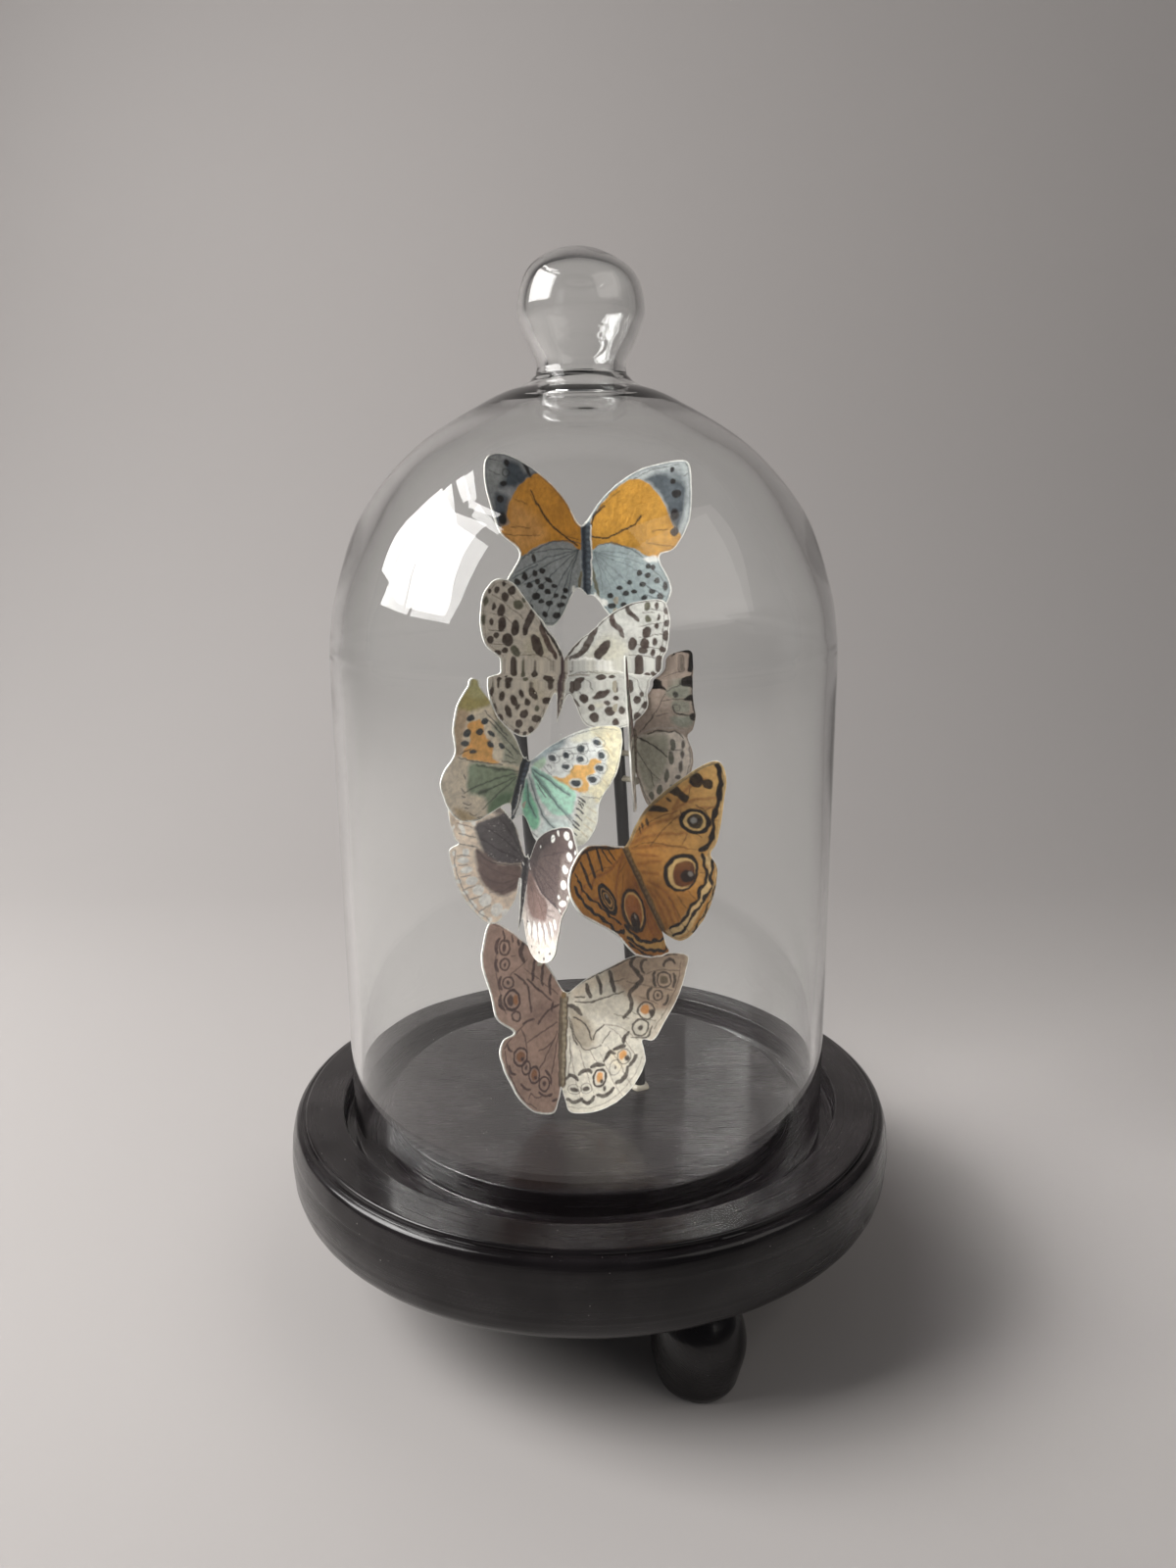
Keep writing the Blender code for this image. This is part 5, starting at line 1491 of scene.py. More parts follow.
def print_brown(sheet, paper):
    """Brown wings with large white spots along their outer halves."""
    ink = (0.040, 0.033, 0.035)
    sheet.side(1, (0.120, 0.088, 0.083))
    sheet.side(-1, (0.90, 0.76, 0.62))
    # Right wings
    sheet.patch([(12.6, 12), (17.8, 12.6), (17.4, 6), (16.2, 1), (13.4, 0.6), (13.2, 4), (12.6, 8)],
        (0.265, 0.212, 0.195), 1.2, 0.9)
    sheet.patch([(1, 2.6), (3, 4.2), (7.2, 2.1), (12, 1.2), (15.3, 0.2), (14.9, -5), (13.8, -9.6),
        (9.6, -12), (6, -11.4), (3.4, -8.9), (1, -5.2), (0.2, -1)], (0.40, 0.335, 0.31), 0.35)
    sheet.patch([(1, -3.6), (4, -5), (9, -5.6), (14.4, -5), (13.8, -9.8), (9.6, -12.2), (5.8, -11.4),
        (3, -8.4), (0.9, -5)], (0.66, 0.60, 0.545), 2.2)
    sheet.patch([(0.8, 4.6), (3, 4.4), (6, 2.3), (9.6, 0.9), (9.9, -2), (9, -3.1), (5, -3.8), (3.5, -3.0),
        (1.8, -0.4)], (0.195, 0.130, 0.115), 0.7)
    sheet.patch([(1.2, 7.6), (3.2, 12), (7.4, 15.4), (9, 14), (5, 9.8), (3, 6.4)], (0.070, 0.056, 0.056),
        1.6, 0.9)
    # Left wings
    sheet.patch([(-1.0, 8.6), (-3.6, 15.0), (-4.2, 17.3), (-7.6, 16.3), (-11.6, 14.1), (-10.8, 11),
        (-9.9, 9.3), (-8.2, 6.7), (-4, 6.0), (-0.9, 6.4)], (0.100, 0.088, 0.092), 0.8)
    sheet.patch([(-4.2, 15.2), (-9.6, 20.4), (-8.2, 16.8), (-5.6, 16.4)], (0.13, 0.105, 0.10), 1.0, 0.9)
    sheet.patch([(-10.7, 9.1), (-10.4, 5.2), (-9.1, 2.1), (-6.6, -0.1), (-4, -0.8), (-1.4, 1.0),
        (-0.8, 4.6), (-2, 6.0), (-6, 6.0)], (0.185, 0.122, 0.108), 0.8)
    sheet.patch([(-12.6, 16.4), (-16.6, 17.6), (-16.2, 12.6), (-14, 13.6)], (0.42, 0.33, 0.26), 1.2, 0.7)
    sheet.watery(0.85, 1.13)
    sheet.tint(0.55 * np.clip(cloud(sheet.x, sheet.y, 0.32, 91) * 6.0 - 4.2, 0,
        1) * (sheet.x < -1.2) * (sheet.y > 6.4) * (sheet.x > -11.5), (0.55, 0.52, 0.50))
    white = [(8.6, 14.3, .7, .8), (10.1, 15.9, .7, .45, 60), (13.1, 16.2, 1.05, .8), (14.8, 15, .8, .8),
        (15, 12.5, 1, .8), (14, 9.5, 1.15, .9), (14.2, 6.4, 1.1, .85), (14.9, 2.8, 1.2, .6, -20),
        (14.3, 1.0, .5, .4), (13.2, 3.6, .5, .4), (16.8, 14.0, .35, .4), (16.9, 11.8, .4, .7),
        (16.7, 9.4, .4, .6), (16.5, 6.8, .4, 1.0), (16.2, 4.3, .4, .5), (4.2, -6.3, .6, 1.6, -22),
        (6.3, -6.2, .65, 1.9, -22), (8.3, -5.6, .65, 1.9, -25), (10.3, -5, .65, 1.8, -28),
        (12, -3.6, .6, 1.5, -32), (13.2, -2.2, .5, 1.1, -30), (4.6, 11.3, .2, .2), (13.2, -6.4, .5, .6),
        (11.6, -8.2, .5, .5)]
    sheet.spots(white, (0.90, 0.90, 0.86), 0.2)
    sheet.rings([(13.1, 16.2, .5, .4)], ink, 0.14, amount=0.5)
    cream = [(-14.2, 12.9, .4, 1.4, -25), (-16, 13.3, .25, .4), (-13, 8, .55, .7), (-13.3, 6.3, 1.0, .5),
        (-12.4, 4.3, 1.1, .6, -15), (-11, 2.1, 1.1, .8, -15), (-9.5, .2, 1.1, 1.05), (-7.8, -1.9, 1.2, 1.3),
        (-5.2, -3.9, 1.1, 1.3), (-15.5, 7.7, .2, .3), (-15, 5.1, .3, .3), (-13.7, 1.8, .4, .3),
        (-12, -.5, .5, .4), (-10.7, -2.5, .4, .5), (-9.9, -3.4, .4, .6), (-8.3, -4.8, .5, .7),
        (-6.4, -6.1, .4, .5), (-3.4, -4.6, .6, .9), (-14.6, 14.9, .3, .5), (-12.2, 14.6, .35, .8, -30),
        (-15.4, 15.4, .3, .4)]
    sheet.spots(cream, (0.95, 0.93, 0.88), 0.2, 1.0, 0.12)
    sheet.strokes([[(1.0, 7.7), (3.0, 12.0), (7.3, 15.5), (13.2, 17.6)], [(2.8, 5.7), (7, 2.5), (12, 1.5),
        (15.2, 0.6)]], ink, 0.36)
    sheet.strokes([[(2.0, 6.4), (5.6, 4.6), (8.2, 2.4)], [(2.4, 7.2), (7.2, 7.0), (12.8, 5.2)], [(2.8, 8.0),
        (7.6, 10.4), (12.4, 12.6)], [(3, 8.2), (6.4, 12.4), (9.4, 15)], [(2.6, 7.0), (8, 5.2), (12.6, 3.4)],
        [(6.4, 9.2), (10, 9.2), (13, 9.4)], [(15.2, 11.2), (13.4, 11)], [(15.2, 8.0), (13.3, 7.9)],
        [(12.8, 13.8), (15.6, 13.7)], [(16.1, 14.9), (16.3, 8.6), (15.6, 2.4)]], ink, 0.2, amount=0.75)
    sheet.strokes([[(5.0, -4.6), (5.2, -6.4), (5.6, -7.9)], [(7.0, -4.3), (7.7, -6.4), (8.5, -8.2)],
        [(9.0, -4.0), (9.9, -5.6), (10.6, -7.2)], [(11.0, -2.8), (11.8, -4.2), (12.4, -5.6)], [(3.0, -4.4),
        (3.2, -6.6)], [(9.9, -1.4), (12.6, -1.2)], [(9.8, -0.4), (12.6, 0.2)]], (0.22, 0.18, 0.175), 0.42,
        0.2, 0.85)
    sheet.strokes([[(1.4, 3.2), (4, 0.6), (5.2, -3.2)], [(1.7, 3.6), (6, 0.6), (8.8, -2.4)], [(2, 4.0),
        (6.4, 1.6), (9.6, 0.2)]], ink, 0.2, amount=0.6)
    sheet.spots([(3.3, -5.2, .4, .2), (9, -9.8, .3, .25), (6, -9.6, .3, .2), (12.4, -8.6, .25, .3),
        (11, -10.4, .3, .25)], ink, 0.15)
    sheet.strokes([[(-10.8, 8.7), (-8, 6.4), (-4, 5.8), (-1, 6.1)], [(-10.9, 9.3), (-14.6, 9.9)],
        [(-1.2, 7.6), (-5.4, 11.2), (-10, 14.0)], [(-1.1, 8.2), (-4.8, 13.4), (-7, 16.0)], [(-1.3, 7.2),
        (-6, 8.8), (-10.6, 11.4)]], ink, 0.26, amount=0.85)
    sheet.strokes([[(-1.3, 3.6), (-6, 4.2), (-10.2, 6.6)], [(-1.3, 3.2), (-5.6, 1.8), (-9.6, 3.6)],
        [(-1.2, 2.6), (-4.2, 0.2), (-7, -0.2)], [(-12, 7.3), (-14.6, 7.3)], [(-12.2, 5.4), (-14.2, 5.2)],
        [(-11.4, 3.2), (-13.4, 2.6)], [(-10.1, 1.2), (-12.2, 0.2)], [(-8.6, -0.9), (-10.8, -2)],
        [(-6.6, -3.0), (-8.8, -4.4)], [(-15.2, 8.3), (-14.6, 4.2), (-12.6, 0.4), (-9.6, -3.9),
        (-6.4, -6.3)], [(-12.4, 15.8), (-15.6, 17.2)], [(-12.2, 13.4), (-15.4, 14.2)], [(-11.4, 11.4),
        (-14.8, 12)]], (0.085, 0.060, 0.056), 0.24, 0.2, 0.75)
    sheet.body(8.4, -8.4, 0.80, (0.036, 0.032, 0.036), (0.12, 0.108, 0.11), (0.10, 0.09, 0.09))
    sheet.strokes([[(-0.9, 8.3), (0.1, 7.9), (1.0, 8.4)], [(-0.95, 2.4), (-0.9, -3.4), (-0.4, -8.2)],
        [(1.0, 2.0), (0.85, -3.6), (0.55, -7.6)], [(-0.8, 6.6), (-0.5, 6.1)], [(0.8, 6.6), (1.1, 6.1)],
        [(1.5, 5.9), (1.8, 5.5)]], sheet.white, 0.26)


def print_owl(sheet, paper):
    """Amber wings with black wavy margins and large dark eyespots."""
    ink = (0.010, 0.006, 0.005)
    amber = np.array(paper.amber)
    # The left ground is painted darker and redder than the right: painted shade with a painted reddish
    # bounce light.
    sheet.side(1, amber * (0.92, 0.90, 1.1))
    sheet.side(-1, (0.36, 0.140, 0.018))
    # Amber runs lighter toward the right tip, as one wash
    toward = np.clip((sheet.u - 4.0) / 20.0, 0.0, 1.0)
    sheet.tint(toward * (sheet.x > 0), amber * (1.12, 1.42, 2.9))
    sheet.patch([(-1, 9.6), (-6, 11.6), (-12, 14), (-18, 12), (-20.4, 9.6), (-20, 6.4), (-16.4, 2),
        (-11.4, 0.4), (-4.6, 4.2)], (0.46, 0.195, 0.026), 2.0, 0.9)
    # Hindwings
    sheet.patch([(0.9, 1.6), (6, -1.8), (10, -3.0), (13.4, -1.6), (16, 2.4), (16.9, 0), (13.4, -6),
        (9.6, -9.8), (5.2, -12.8), (0.6, -13)], (0.42, 0.185, 0.035), 1.4, 0.85)
    sheet.patch([(13.9, 2.8), (14.6, 0.4), (13.4, -2.2), (11.2, -3.8), (9.9, -5.8), (7.4, -6.9),
        (4.2, -9.2), (1, -10), (0.8, -12.2), (5.4, -11.6), (9.2, -8.2), (12.8, -4.6), (15.2, -0.6),
        (15.8, 2)], (0.62, 0.43, 0.20), 0.5, 0.95)
    # The left hindwing's wash is painted darker than the right one's, as painted shade.
    sheet.patch([(-1, 2.4), (-6.6, 2.6), (-11, -1.6), (-11.4, -5.6), (-8.6, -10.6), (-4.6, -13.2),
        (0.4, -14.8), (0.6, -4)], (0.27, 0.100, 0.012), 1.6, 0.85)
    sheet.patch([(-10.4, -3.6), (-11.4, -5), (-9.2, -8.8), (-6.8, -10.8), (-4, -12.2), (-0.6, -13),
        (-0.4, -11.2), (-4.2, -10.4), (-7.6, -8.2), (-9.4, -5.8)], (0.50, 0.29, 0.085), 0.6, 0.8)
    sheet.watery(0.82, 1.14)
    # Soft red-brown veins under the dark drawing
    red = (0.20, 0.055, 0.016)
    sheet.strokes([[(1.5, 9.8), (6, 10.2), (10, 9.3), (13.4, 8.4)], [(1.6, 8.8), (5, 8.2), (8, 7.4),
        (12.2, 5.4)], [(3.6, 10.9), (8, 12.2), (13.8, 12.0)], [(11.8, 12.8), (15.4, 14.3), (19, 14.0),
        (22.4, 13.0)], [(2, 7.4), (6, 5.6)], [(17.6, 12.6), (21, 11.4)], [(13.0, 13.8), (17.2, 16.8),
        (21.6, 17.6)]], red, 0.66, 0.5, 0.6)
    sheet.strokes([[(-14, 8), (-12, 9.1), (-9.5, 8.3), (-6, 8.0), (-1.8, 8.6)], [(-1.6, 8.4), (-4.6, 6.6),
        (-7.4, 4.6), (-10, 1.4)], [(-1.4, 3.4), (-2.4, -2), (-2.6, -8)], [(-1.4, -2), (-1.5, -9.6)],
        [(-2.9, 0.6), (-3.5, -4.8), (-3.4, -9.2)], [(-15.8, 9.2), (-18.6, 8.4)], [(-13.6, 5.2),
        (-15.6, 5.8)]], red, 0.62, 0.5, 0.7)
    sheet.strokes([[(2.2, 1), (4.0, -1.4), (4.6, -4.4), (4.2, -8.6)], [(1.2, 0.2), (1.7, -4), (1.5, -8.8)],
        [(2.4, -1), (3.0, -5), (2.9, -9)], [(1.4, 3.4), (4.4, 2.2)], [(1.4, 5.2), (6.2, 4.6)]], red, 0.72,
        0.6, 0.6)
    brown = (0.060, 0.024, 0.010)
    sheet.strokes([[(1.5, 9.0), (5.5, 8.9), (9.5, 6.8), (14, 4.5)], [(5.4, 8.2), (9.2, 10.4), (14.2, 12.6)],
        [(3.4, 11.6), (9, 13.2), (13.6, 13.2)], [(6.2, -3.4), (6.6, -5.2), (7.3, -7.3)], [(8.8, -3.2),
        (9.2, -4.4), (9.6, -5.6)], [(4.5, -3.4), (4.9, -6.6), (4.8, -8.6)], [(13.6, 8.2), (11.6, 6.4)],
        [(12.8, -0.4), (14.0, -0.8)], [(18.2, 11.4), (21.8, 12.0)], [(18.6, 9.4), (20.6, 8.8)],
        [(-6.4, 8.4), (-9.4, 9.4), (-13.6, 10.2)], [(-4.0, 5.2), (-6.4, 3.0)], [(-1.3, 6.8), (-5.2, 6.0)],
        [(-9.0, -5.6), (-10.2, -6.6)], [(16.8, 15.3), (17.5, 16.2), (18.4, 17.0)], [(1.6, -9.6),
        (1.9, -12.4)], [(4.6, -9.4), (5.4, -11.6)]], brown, 0.2, amount=0.75)
    # Black costa, blotches, margins
    sheet.strokes([[(0.9, 9.8), (4.5, 13.1), (8.8, 15.9), (16.7, 18.7), (20.6, 19.7), (24.4, 20.0)],
        [(-1.2, 10.0), (-5, 11.8), (-9, 13.9), (-12.8, 14.4)]], ink, 0.72)
    sheet.strokes([[(-12.8, 14.4), (-18, 12.7), (-20.2, 10.4)]], ink, 0.4)
    sheet.patch([(13.2, 17.4), (14.2, 17.9), (15.6, 18.0), (16.0, 17.0), (16.9, 15.2), (16.0, 14.2),
        (15.2, 14.9), (14.7, 16.2)], ink, 0.22, 0.95)
    sheet.spots([(19.7, 17.9, 1.35, 1.45), (21.6, 16.4, 1.0, .95)], ink, 0.22, 1.0, 0.1)
    sheet.patch([(8.2, 15.2), (9.2, 15.9), (10.6, 15.4), (11.8, 14.4), (12.0, 13.7), (10.6, 13.9),
        (9.4, 14.5)], ink, 0.22, 0.95)
    sheet.spots([(6.9, 13.0, .34, 1.0, 18), (5.7, 12.5, .22, .8, 15), (4.9, 11.9, .2, .7, 15),
        (12.9, 15.9, .3, .6, -30)], ink, 0.16, 0.9)
    sheet.outline((0.60, 0.44, 0.22), 0.25, 0.75, 0.9, 1)
    sheet.outline(ink, 0.45, 0.16, 0.8, 1)
    sheet.wavy([(24.7, 19.4), (24.1, 16.2), (21.9, 12.3), (20.0, 9.9), (18.6, 7.2), (16.9, 4.9),
        (14.6, 4.1)], ink, 1.0, 0.12)
    sheet.strokes([[(14.2, 13.2), (14.6, 8.6), (16.0, 6.6)], [(17.6, 13.2), (18.9, 11.2), (18.8, 8.4)]],
        ink, 0.24, amount=0.8)
    sheet.strokes([[(-14.2, 13.3), (-14.2, 11), (-14.6, 9.3), (-14.5, 7.8)]], ink, 1.0)
    sheet.strokes([[(-11.2, 14.0), (-11.5, 12), (-12.2, 9.1)]], ink, 0.9)
    sheet.strokes([[(-8.1, 13.6), (-8.4, 11.5), (-9.2, 9.0)]], ink, 0.78)
    sheet.strokes([[(-6.7, 12.2), (-6.3, 10), (-5.8, 8.6)], [(-4.9, 11.5), (-4.7, 10), (-4.4, 8.7)],
        [(-17, 12.4), (-16.8, 11)]], ink, 0.42)
    sheet.wavy([(-17, 11), (-16.5, 7), (-14.3, 4), (-13.2, 1), (-11, -2)], ink, 0.62, 0.14)
    sheet.wavy([(-18.7, 10), (-18.3, 6.5), (-16.3, 3), (-14.5, 0), (-13.3, -2.7), (-11.3, -3.5)], ink, 0.85,
        0.14)
    sheet.wavy([(14.8, 3.2), (14.2, 1.2), (14, -.5), (13, -2.5), (11, -3.7), (10.3, -5.3), (8, -6.5),
        (6.5, -8), (4.5, -9.2), (2, -9.8)], ink, 0.66, 0.13)
    sheet.wavy([(16.2, 1.8), (15.5, 0), (14.5, -1.5), (13.5, -4), (11.5, -5.5), (9.5, -7.3), (7, -8.8),
        (5, -10.8), (1.6, -11.5)], ink, 0.62, 0.13)
    sheet.wavy([(16.7, .5), (15.5, -2.5), (13.5, -5), (10, -8.8), (6, -12)], ink, 0.34, 0.12)
    sheet.wavy([(-10.3, -3), (-9.5, -5), (-8, -7.5), (-6.5, -9), (-4, -10), (-2, -11), (0.3, -11.5)], ink,
        0.80, 0.13)
    sheet.wavy([(-11, -5), (-9.5, -8), (-7, -10.5), (-4.5, -12), (-2, -13.3), (0.5, -13)], ink, 0.66, 0.13)
    sheet.wavy([(-11.5, -6), (-9, -10), (-6, -12.8), (-2.5, -14.6), (0.3, -14.6)], ink, 0.50, 0.12)
    # Eyespots
    pale = (0.62, 0.42, 0.17)
    sheet.spots([(16.0, 10.1, 2.7, 2.35, 25)], pale, 0.2, 0.9)
    sheet.rings([(16.0, 10.1, 2.7, 2.35, 25)], ink, 0.75)
    sheet.spots([(16.1, 10.1, 1.65, 1.5)], ink, 0.2)
    sheet.spots([(15.9, 10.4, .6, .55)], (0.26, 0.26, 0.25), 0.3)
    big = [(5.9, -2.2), (5.0, 0), (5.6, 2.2), (7.4, 4.0), (10, 4.8), (12.4, 4.0), (13.2, 2.2), (12.2, -0.4),
        (10.4, -2.4), (7.8, -3.0)]
    sheet.patch(big, ink, 0.24)
    sheet.patch([(6.5, -1.8), (6.0, 0.2), (6.6, 2.0), (8.0, 3.2), (10, 3.9), (11.9, 3.2), (12.4, 1.8),
        (11.5, -0.2), (10.1, -2.0), (7.9, -2.5)], pale, 0.24)
    sheet.patch([(7.2, -1.6), (6.9, 0.2), (7.6, 1.7), (9.0, 2.8), (10.8, 3.0), (12.1, 2.2), (11.7, 0.2),
        (10.4, -1.9), (8.6, -2.2)], (0.135, 0.042, 0.012), 0.3)
    sheet.patch([(8.2, 2.0), (9.8, 2.9), (11.6, 2.6), (11.6, 1.4), (10, 1.6)], (0.21, 0.085, 0.024), 0.8,
        0.8)
    sheet.spots([(10.0, -.2, 1.5, 1.35)], ink, 0.24)
    sheet.spots([(10.7, 0.1, .5, .6, 20)], (0.22, 0.20, 0.18), 0.35)
    sheet.rings([(-11.6, 3.8, 1.8, 3.0, -8)], ink, 0.75)
    sheet.spots([(-11.6, 3.8, 1.4, 2.5, -8)], (0.42, 0.24, 0.08), 0.2, 0.8)
    sheet.rings([(-11.6, 3.8, 1.1, 2.0, -8)], ink, 0.3)
    sheet.spots([(-11.6, 3.9, .7, 1.35, -8)], ink, 0.2)
    sheet.spots([(-11.4, 4.4, .25, .45)], (0.25, 0.22, 0.18), 0.25)
    sheet.spots([(-5.9, -2.0, 3.85, 4.55, 12)], ink, 0.24)
    sheet.spots([(-5.8, -2.0, 3.0, 3.65, 12)], (0.55, 0.33, 0.11), 0.24)
    sheet.spots([(-5.9, -2.0, 2.6, 3.25, 12)], (0.27, 0.085, 0.016), 0.3)
    sheet.patch([(-4.2, 0.2), (-6.4, 1.0), (-8.0, -0.6), (-7.2, -1.4), (-5.2, -0.8)], (0.30, 0.11, 0.028),
        0.8, 0.7)
    sheet.spots([(-6.9, -3.9, 1.5, 1.9, 15)], ink, 0.24)
    sheet.spots([(-6.3, -3.2, .35, .5)], (0.24, 0.20, 0.16), 0.3)
    sheet.body(9.2, -12.6, 0.60, (0.075, 0.040, 0.014), (0.20, 0.125, 0.050), (0.20, 0.105, 0.030))


def print_cream(sheet, paper):
    """Cream wings with dark squiggles, rings and orange eyes along scalloped margins."""
    # The brownish left ground is the cream painted in shade, tinted by a painted reddish bounce light.
    sheet.side(1, (0.60, 0.55, 0.455))
    sheet.side(-1, (0.46, 0.300, 0.235))
    # Washes. The dark patch over the outer right forewing is painted shade, and the darker left washes are
    # painted shade with a painted reddish bounce light.
    sheet.patch([(9.6, 16), (15, 18), (22.8, 18.6), (26.8, 17.6), (25.6, 11.4), (23.4, 6.8), (19.8, 5.6),
        (15.6, 7.4), (12.8, 9.6), (10.4, 11.8)], (0.33, 0.235, 0.165), 2.2, 0.95)
    sheet.patch([(2, 9.8), (5, 12), (9.4, 14), (9.8, 12.2), (5.4, 10), (2.6, 8.4)], (0.56, 0.47, 0.36), 1.6,
        0.8)
    sheet.patch([(19, 4.2), (22.4, 6), (20.6, 2), (18.4, 0.2)], (0.58, 0.50, 0.40), 1.2, 0.8)
    sheet.patch([(1.0, 4.4), (4, 5.4), (11, 4), (15, 0.6), (17.4, -0.4), (17.6, -4), (15.6, -8.6),
        (12.4, -12), (7.6, -14.6), (2, -15), (0.6, -8)], (0.70, 0.655, 0.560), 1.2, 0.9)
    sheet.patch([(1.4, 6.3), (4, 5.4), (6, 3.5), (7.1, 0.2), (6.5, -1.5), (4.6, -2.1), (3, -1.0),
        (1.6, 2.0)], (0.33, 0.27, 0.195), 1.6, 0.75)
    sheet.patch([(2.0, 4.6), (3.4, 4.6), (4.0, 2.6), (3.0, 1.4)], (0.42, 0.35, 0.26), 0.8, 0.8)
    sheet.patch([(10.2, -2.5), (12.4, -1.8), (13.6, -4), (12.4, -6), (10.8, -5)], (0.80, 0.70, 0.52), 1.0,
        0.6)
    sheet.patch([(-1, 4.4), (-8, 4.4), (-12.4, 0.6), (-14.8, -1.6), (-13.2, -7.2), (-10, -12.2),
        (-6.2, -15), (-1, -15.2)], (0.37, 0.235, 0.180), 0.8, 0.8)
    sheet.patch([(-2, 8), (-6.4, 7.2), (-8.8, 4.6), (-6, 3.4), (-2, 4.6)], (0.33, 0.205, 0.165), 1.6, 0.8)
    sheet.patch([(-15.2, 21.4), (-18.2, 22.8), (-19.6, 16), (-17, 8.4), (-15.9, 10), (-16.4, 16)],
        (0.36, 0.235, 0.19), 1.2, 0.8)
    sheet.watery(0.88, 1.09)
    ink = (0.040, 0.028, 0.021)
    plum = (0.070, 0.032, 0.028)
    # Right forewing
    sheet.strokes([[(5.0, 11.3), (5.2, 10.1), (5.9, 8.7)]], ink, 1.05)
    sheet.strokes([[(7.2, 12.9), (7.9, 11.3), (8.0, 9.4)]], ink, 0.85)
    sheet.strokes([[(9.8, 14.1), (10.3, 12.2), (10.8, 9.9)]], ink, 0.85)
    sheet.strokes([[(15, 17.0), (14.3, 15.5), (15.7, 13.8), (16.6, 12.4), (15.4, 11.0), (14.1, 9.4),
        (14.6, 7.6), (14.2, 6.0), (12.8, 4.5)]], ink, 0.92)
    sheet.strokes([[(1.0, 9.2), (3, 11.2), (6, 12.9), (10, 14.8), (15, 17.0)], [(15, 17.0), (19, 17.5),
        (24, 17.6)], [(2.5, 7.6), (6, 7.6), (10, 9.0), (12.8, 9.9)], [(14.6, 0.6), (16, 0.6), (18, 0.7),
        (18.8, 3.0)], [(2.4, 8.6), (4.6, 8.6)]], ink, 0.34)
    sheet.rings([(20.0, 9.2, .95, .95), (21.3, 12.4, 1.5, 1.6), (17.5, 6.0, 1.75, 1.7),
        (16.4, 2.6, 1.7, 1.6)], ink, 0.36, amount=0.9)
    sheet.spots([(21.3, 12.4, .85, .85)], (0.115, 0.085, 0.050), 0.3)
    sheet.spots([(17.3, 6.2, 1.05, 1.0)], (0.45, 0.19, 0.05), 0.3)
    sheet.spots([(18.7, 5.6, .6, .8), (16.4, 2.6, .6, .5), (20.0, 9.2, .3, .35)], ink, 0.25)
    sheet.arcs([(21.3, 12.6, 2.2, 2.4, 150, 215), (21.3, 12.4, 2.3, 2.5, -35, 30),
        (20, 9.2, 2.1, 2.0, 130, 205), (20.2, 9.0, 2.0, 2.0, -60, 10), (22.4, 15.6, 1.1, 1.0, 15, 200),
        (17.4, 15.2, 1.0, 1.3, 80, 250)], ink, 0.62)
    sheet.strokes([[(13.4, 11.9), (17, 11.3), (20, 10.8), (23, 10.3)], [(14, 6), (16.4, 4.8), (19.5, 4.0)],
        [(16.3, 8.9), (18, 8.2), (20, 7.5)], [(16.8, 13.4), (20.6, 14.4), (24.8, 14.4)], [(10.6, 12.0),
        (13.0, 12.4)], [(10.9, 5.2), (14, 4.4)], [(24.8, 16.2), (24.2, 12.2), (22.2, 7.2), (19.2, 2.4)]],
        ink, 0.18, amount=0.8)
    # Right hindwing
    sheet.strokes([[(2.2, 4.5), (4.5, 3.3), (5.6, 1.8), (6.2, 0.0)], [(6.5, 0.0), (7.4, 1.8), (8.8, 3.0)],
        [(1.3, 4.4), (2.4, 0.6), (3.2, -1.2)]], ink, 0.34)
    sheet.strokes([[(1.8, 4.0), (3, 0.2), (5.0, -2.0), (8.3, -1.2)], [(8.4, -.8), (9.2, 0.4), (10.2, 1.6)],
        [(1.6, 0.6), (1.9, -3.4), (1.4, -7.4)]], ink, 0.22)
    sheet.strokes([[(0.9, 7.0), (2.5, 6.4), (4.0, 5.0)]], ink, 0.95)
    sheet.strokes([[(2, -2.4), (2.8, -7), (4, -12)], [(3.8, -2.2), (5.2, -6.4), (7, -11)], [(8, -2.4),
        (10, -6.6), (13, -11.4)], [(10, 2.5), (12.6, 0.4), (15.4, -2.6)], [(9.8, -1.4), (12.4, -5),
        (14.5, -9)], [(6, -2), (7.6, -5.0)], [(8.4, 3.2), (12.4, 2.6), (16, 0)]], (0.20, 0.155, 0.115),
        0.18, amount=0.85)
    scallops = [[(0.9, -8.1), (1.8, -7.4), (2.6, -7.5), (3.5, -8.1)], [(3.7, -7.2), (4.4, -6.4),
        (5.5, -6.1), (6.3, -6.6)], [(6.3, -5.6), (7.4, -5.0), (8.8, -5.0)], [(9.0, -4.1), (9.6, -3.0),
        (10.4, -2.4), (11.2, -2.7)], [(11.0, -1.8), (12.2, -1.4), (13.2, -1.2)], [(12.9, -0.6), (13.2, 0.6),
        (14.0, 1.6)], [(1.3, -12.1), (2.2, -12.7), (3.2, -12.6), (4.2, -12.0)], [(4.3, -12.2), (5.4, -12.8),
        (6.5, -12.3), (7.0, -11.4)], [(7.6, -11.1), (8.8, -11.2), (10.0, -10.6), (11, -9.4)], [(11.6, -8.5),
        (12.8, -7.9), (13.6, -6.8), (14.0, -5.2)], [(14.4, -5.0), (15.2, -3.9), (15.6, -2.8)]]
    sheet.strokes(scallops, ink, 0.80)
    sheet.strokes([[(0.9, -13.6), (4, -13.9), (8, -13.2), (12, -10.6), (15, -7.2), (16.8, -3.2)]],
        (0.20, 0.155, 0.115), 0.16, amount=0.8)
    sheet.spots([(2.8, -10.2, .85, .5, 10), (5.2, -9.9, .85, .5)], ink, 0.25)
    sheet.rings([(2.8, -10.1, 1.3, 1.0), (5.3, -9.8, 1.25, 1.0), (11.3, -5.5, 1.15, 1.7, 25)], ink, 0.14,
        amount=0.7)
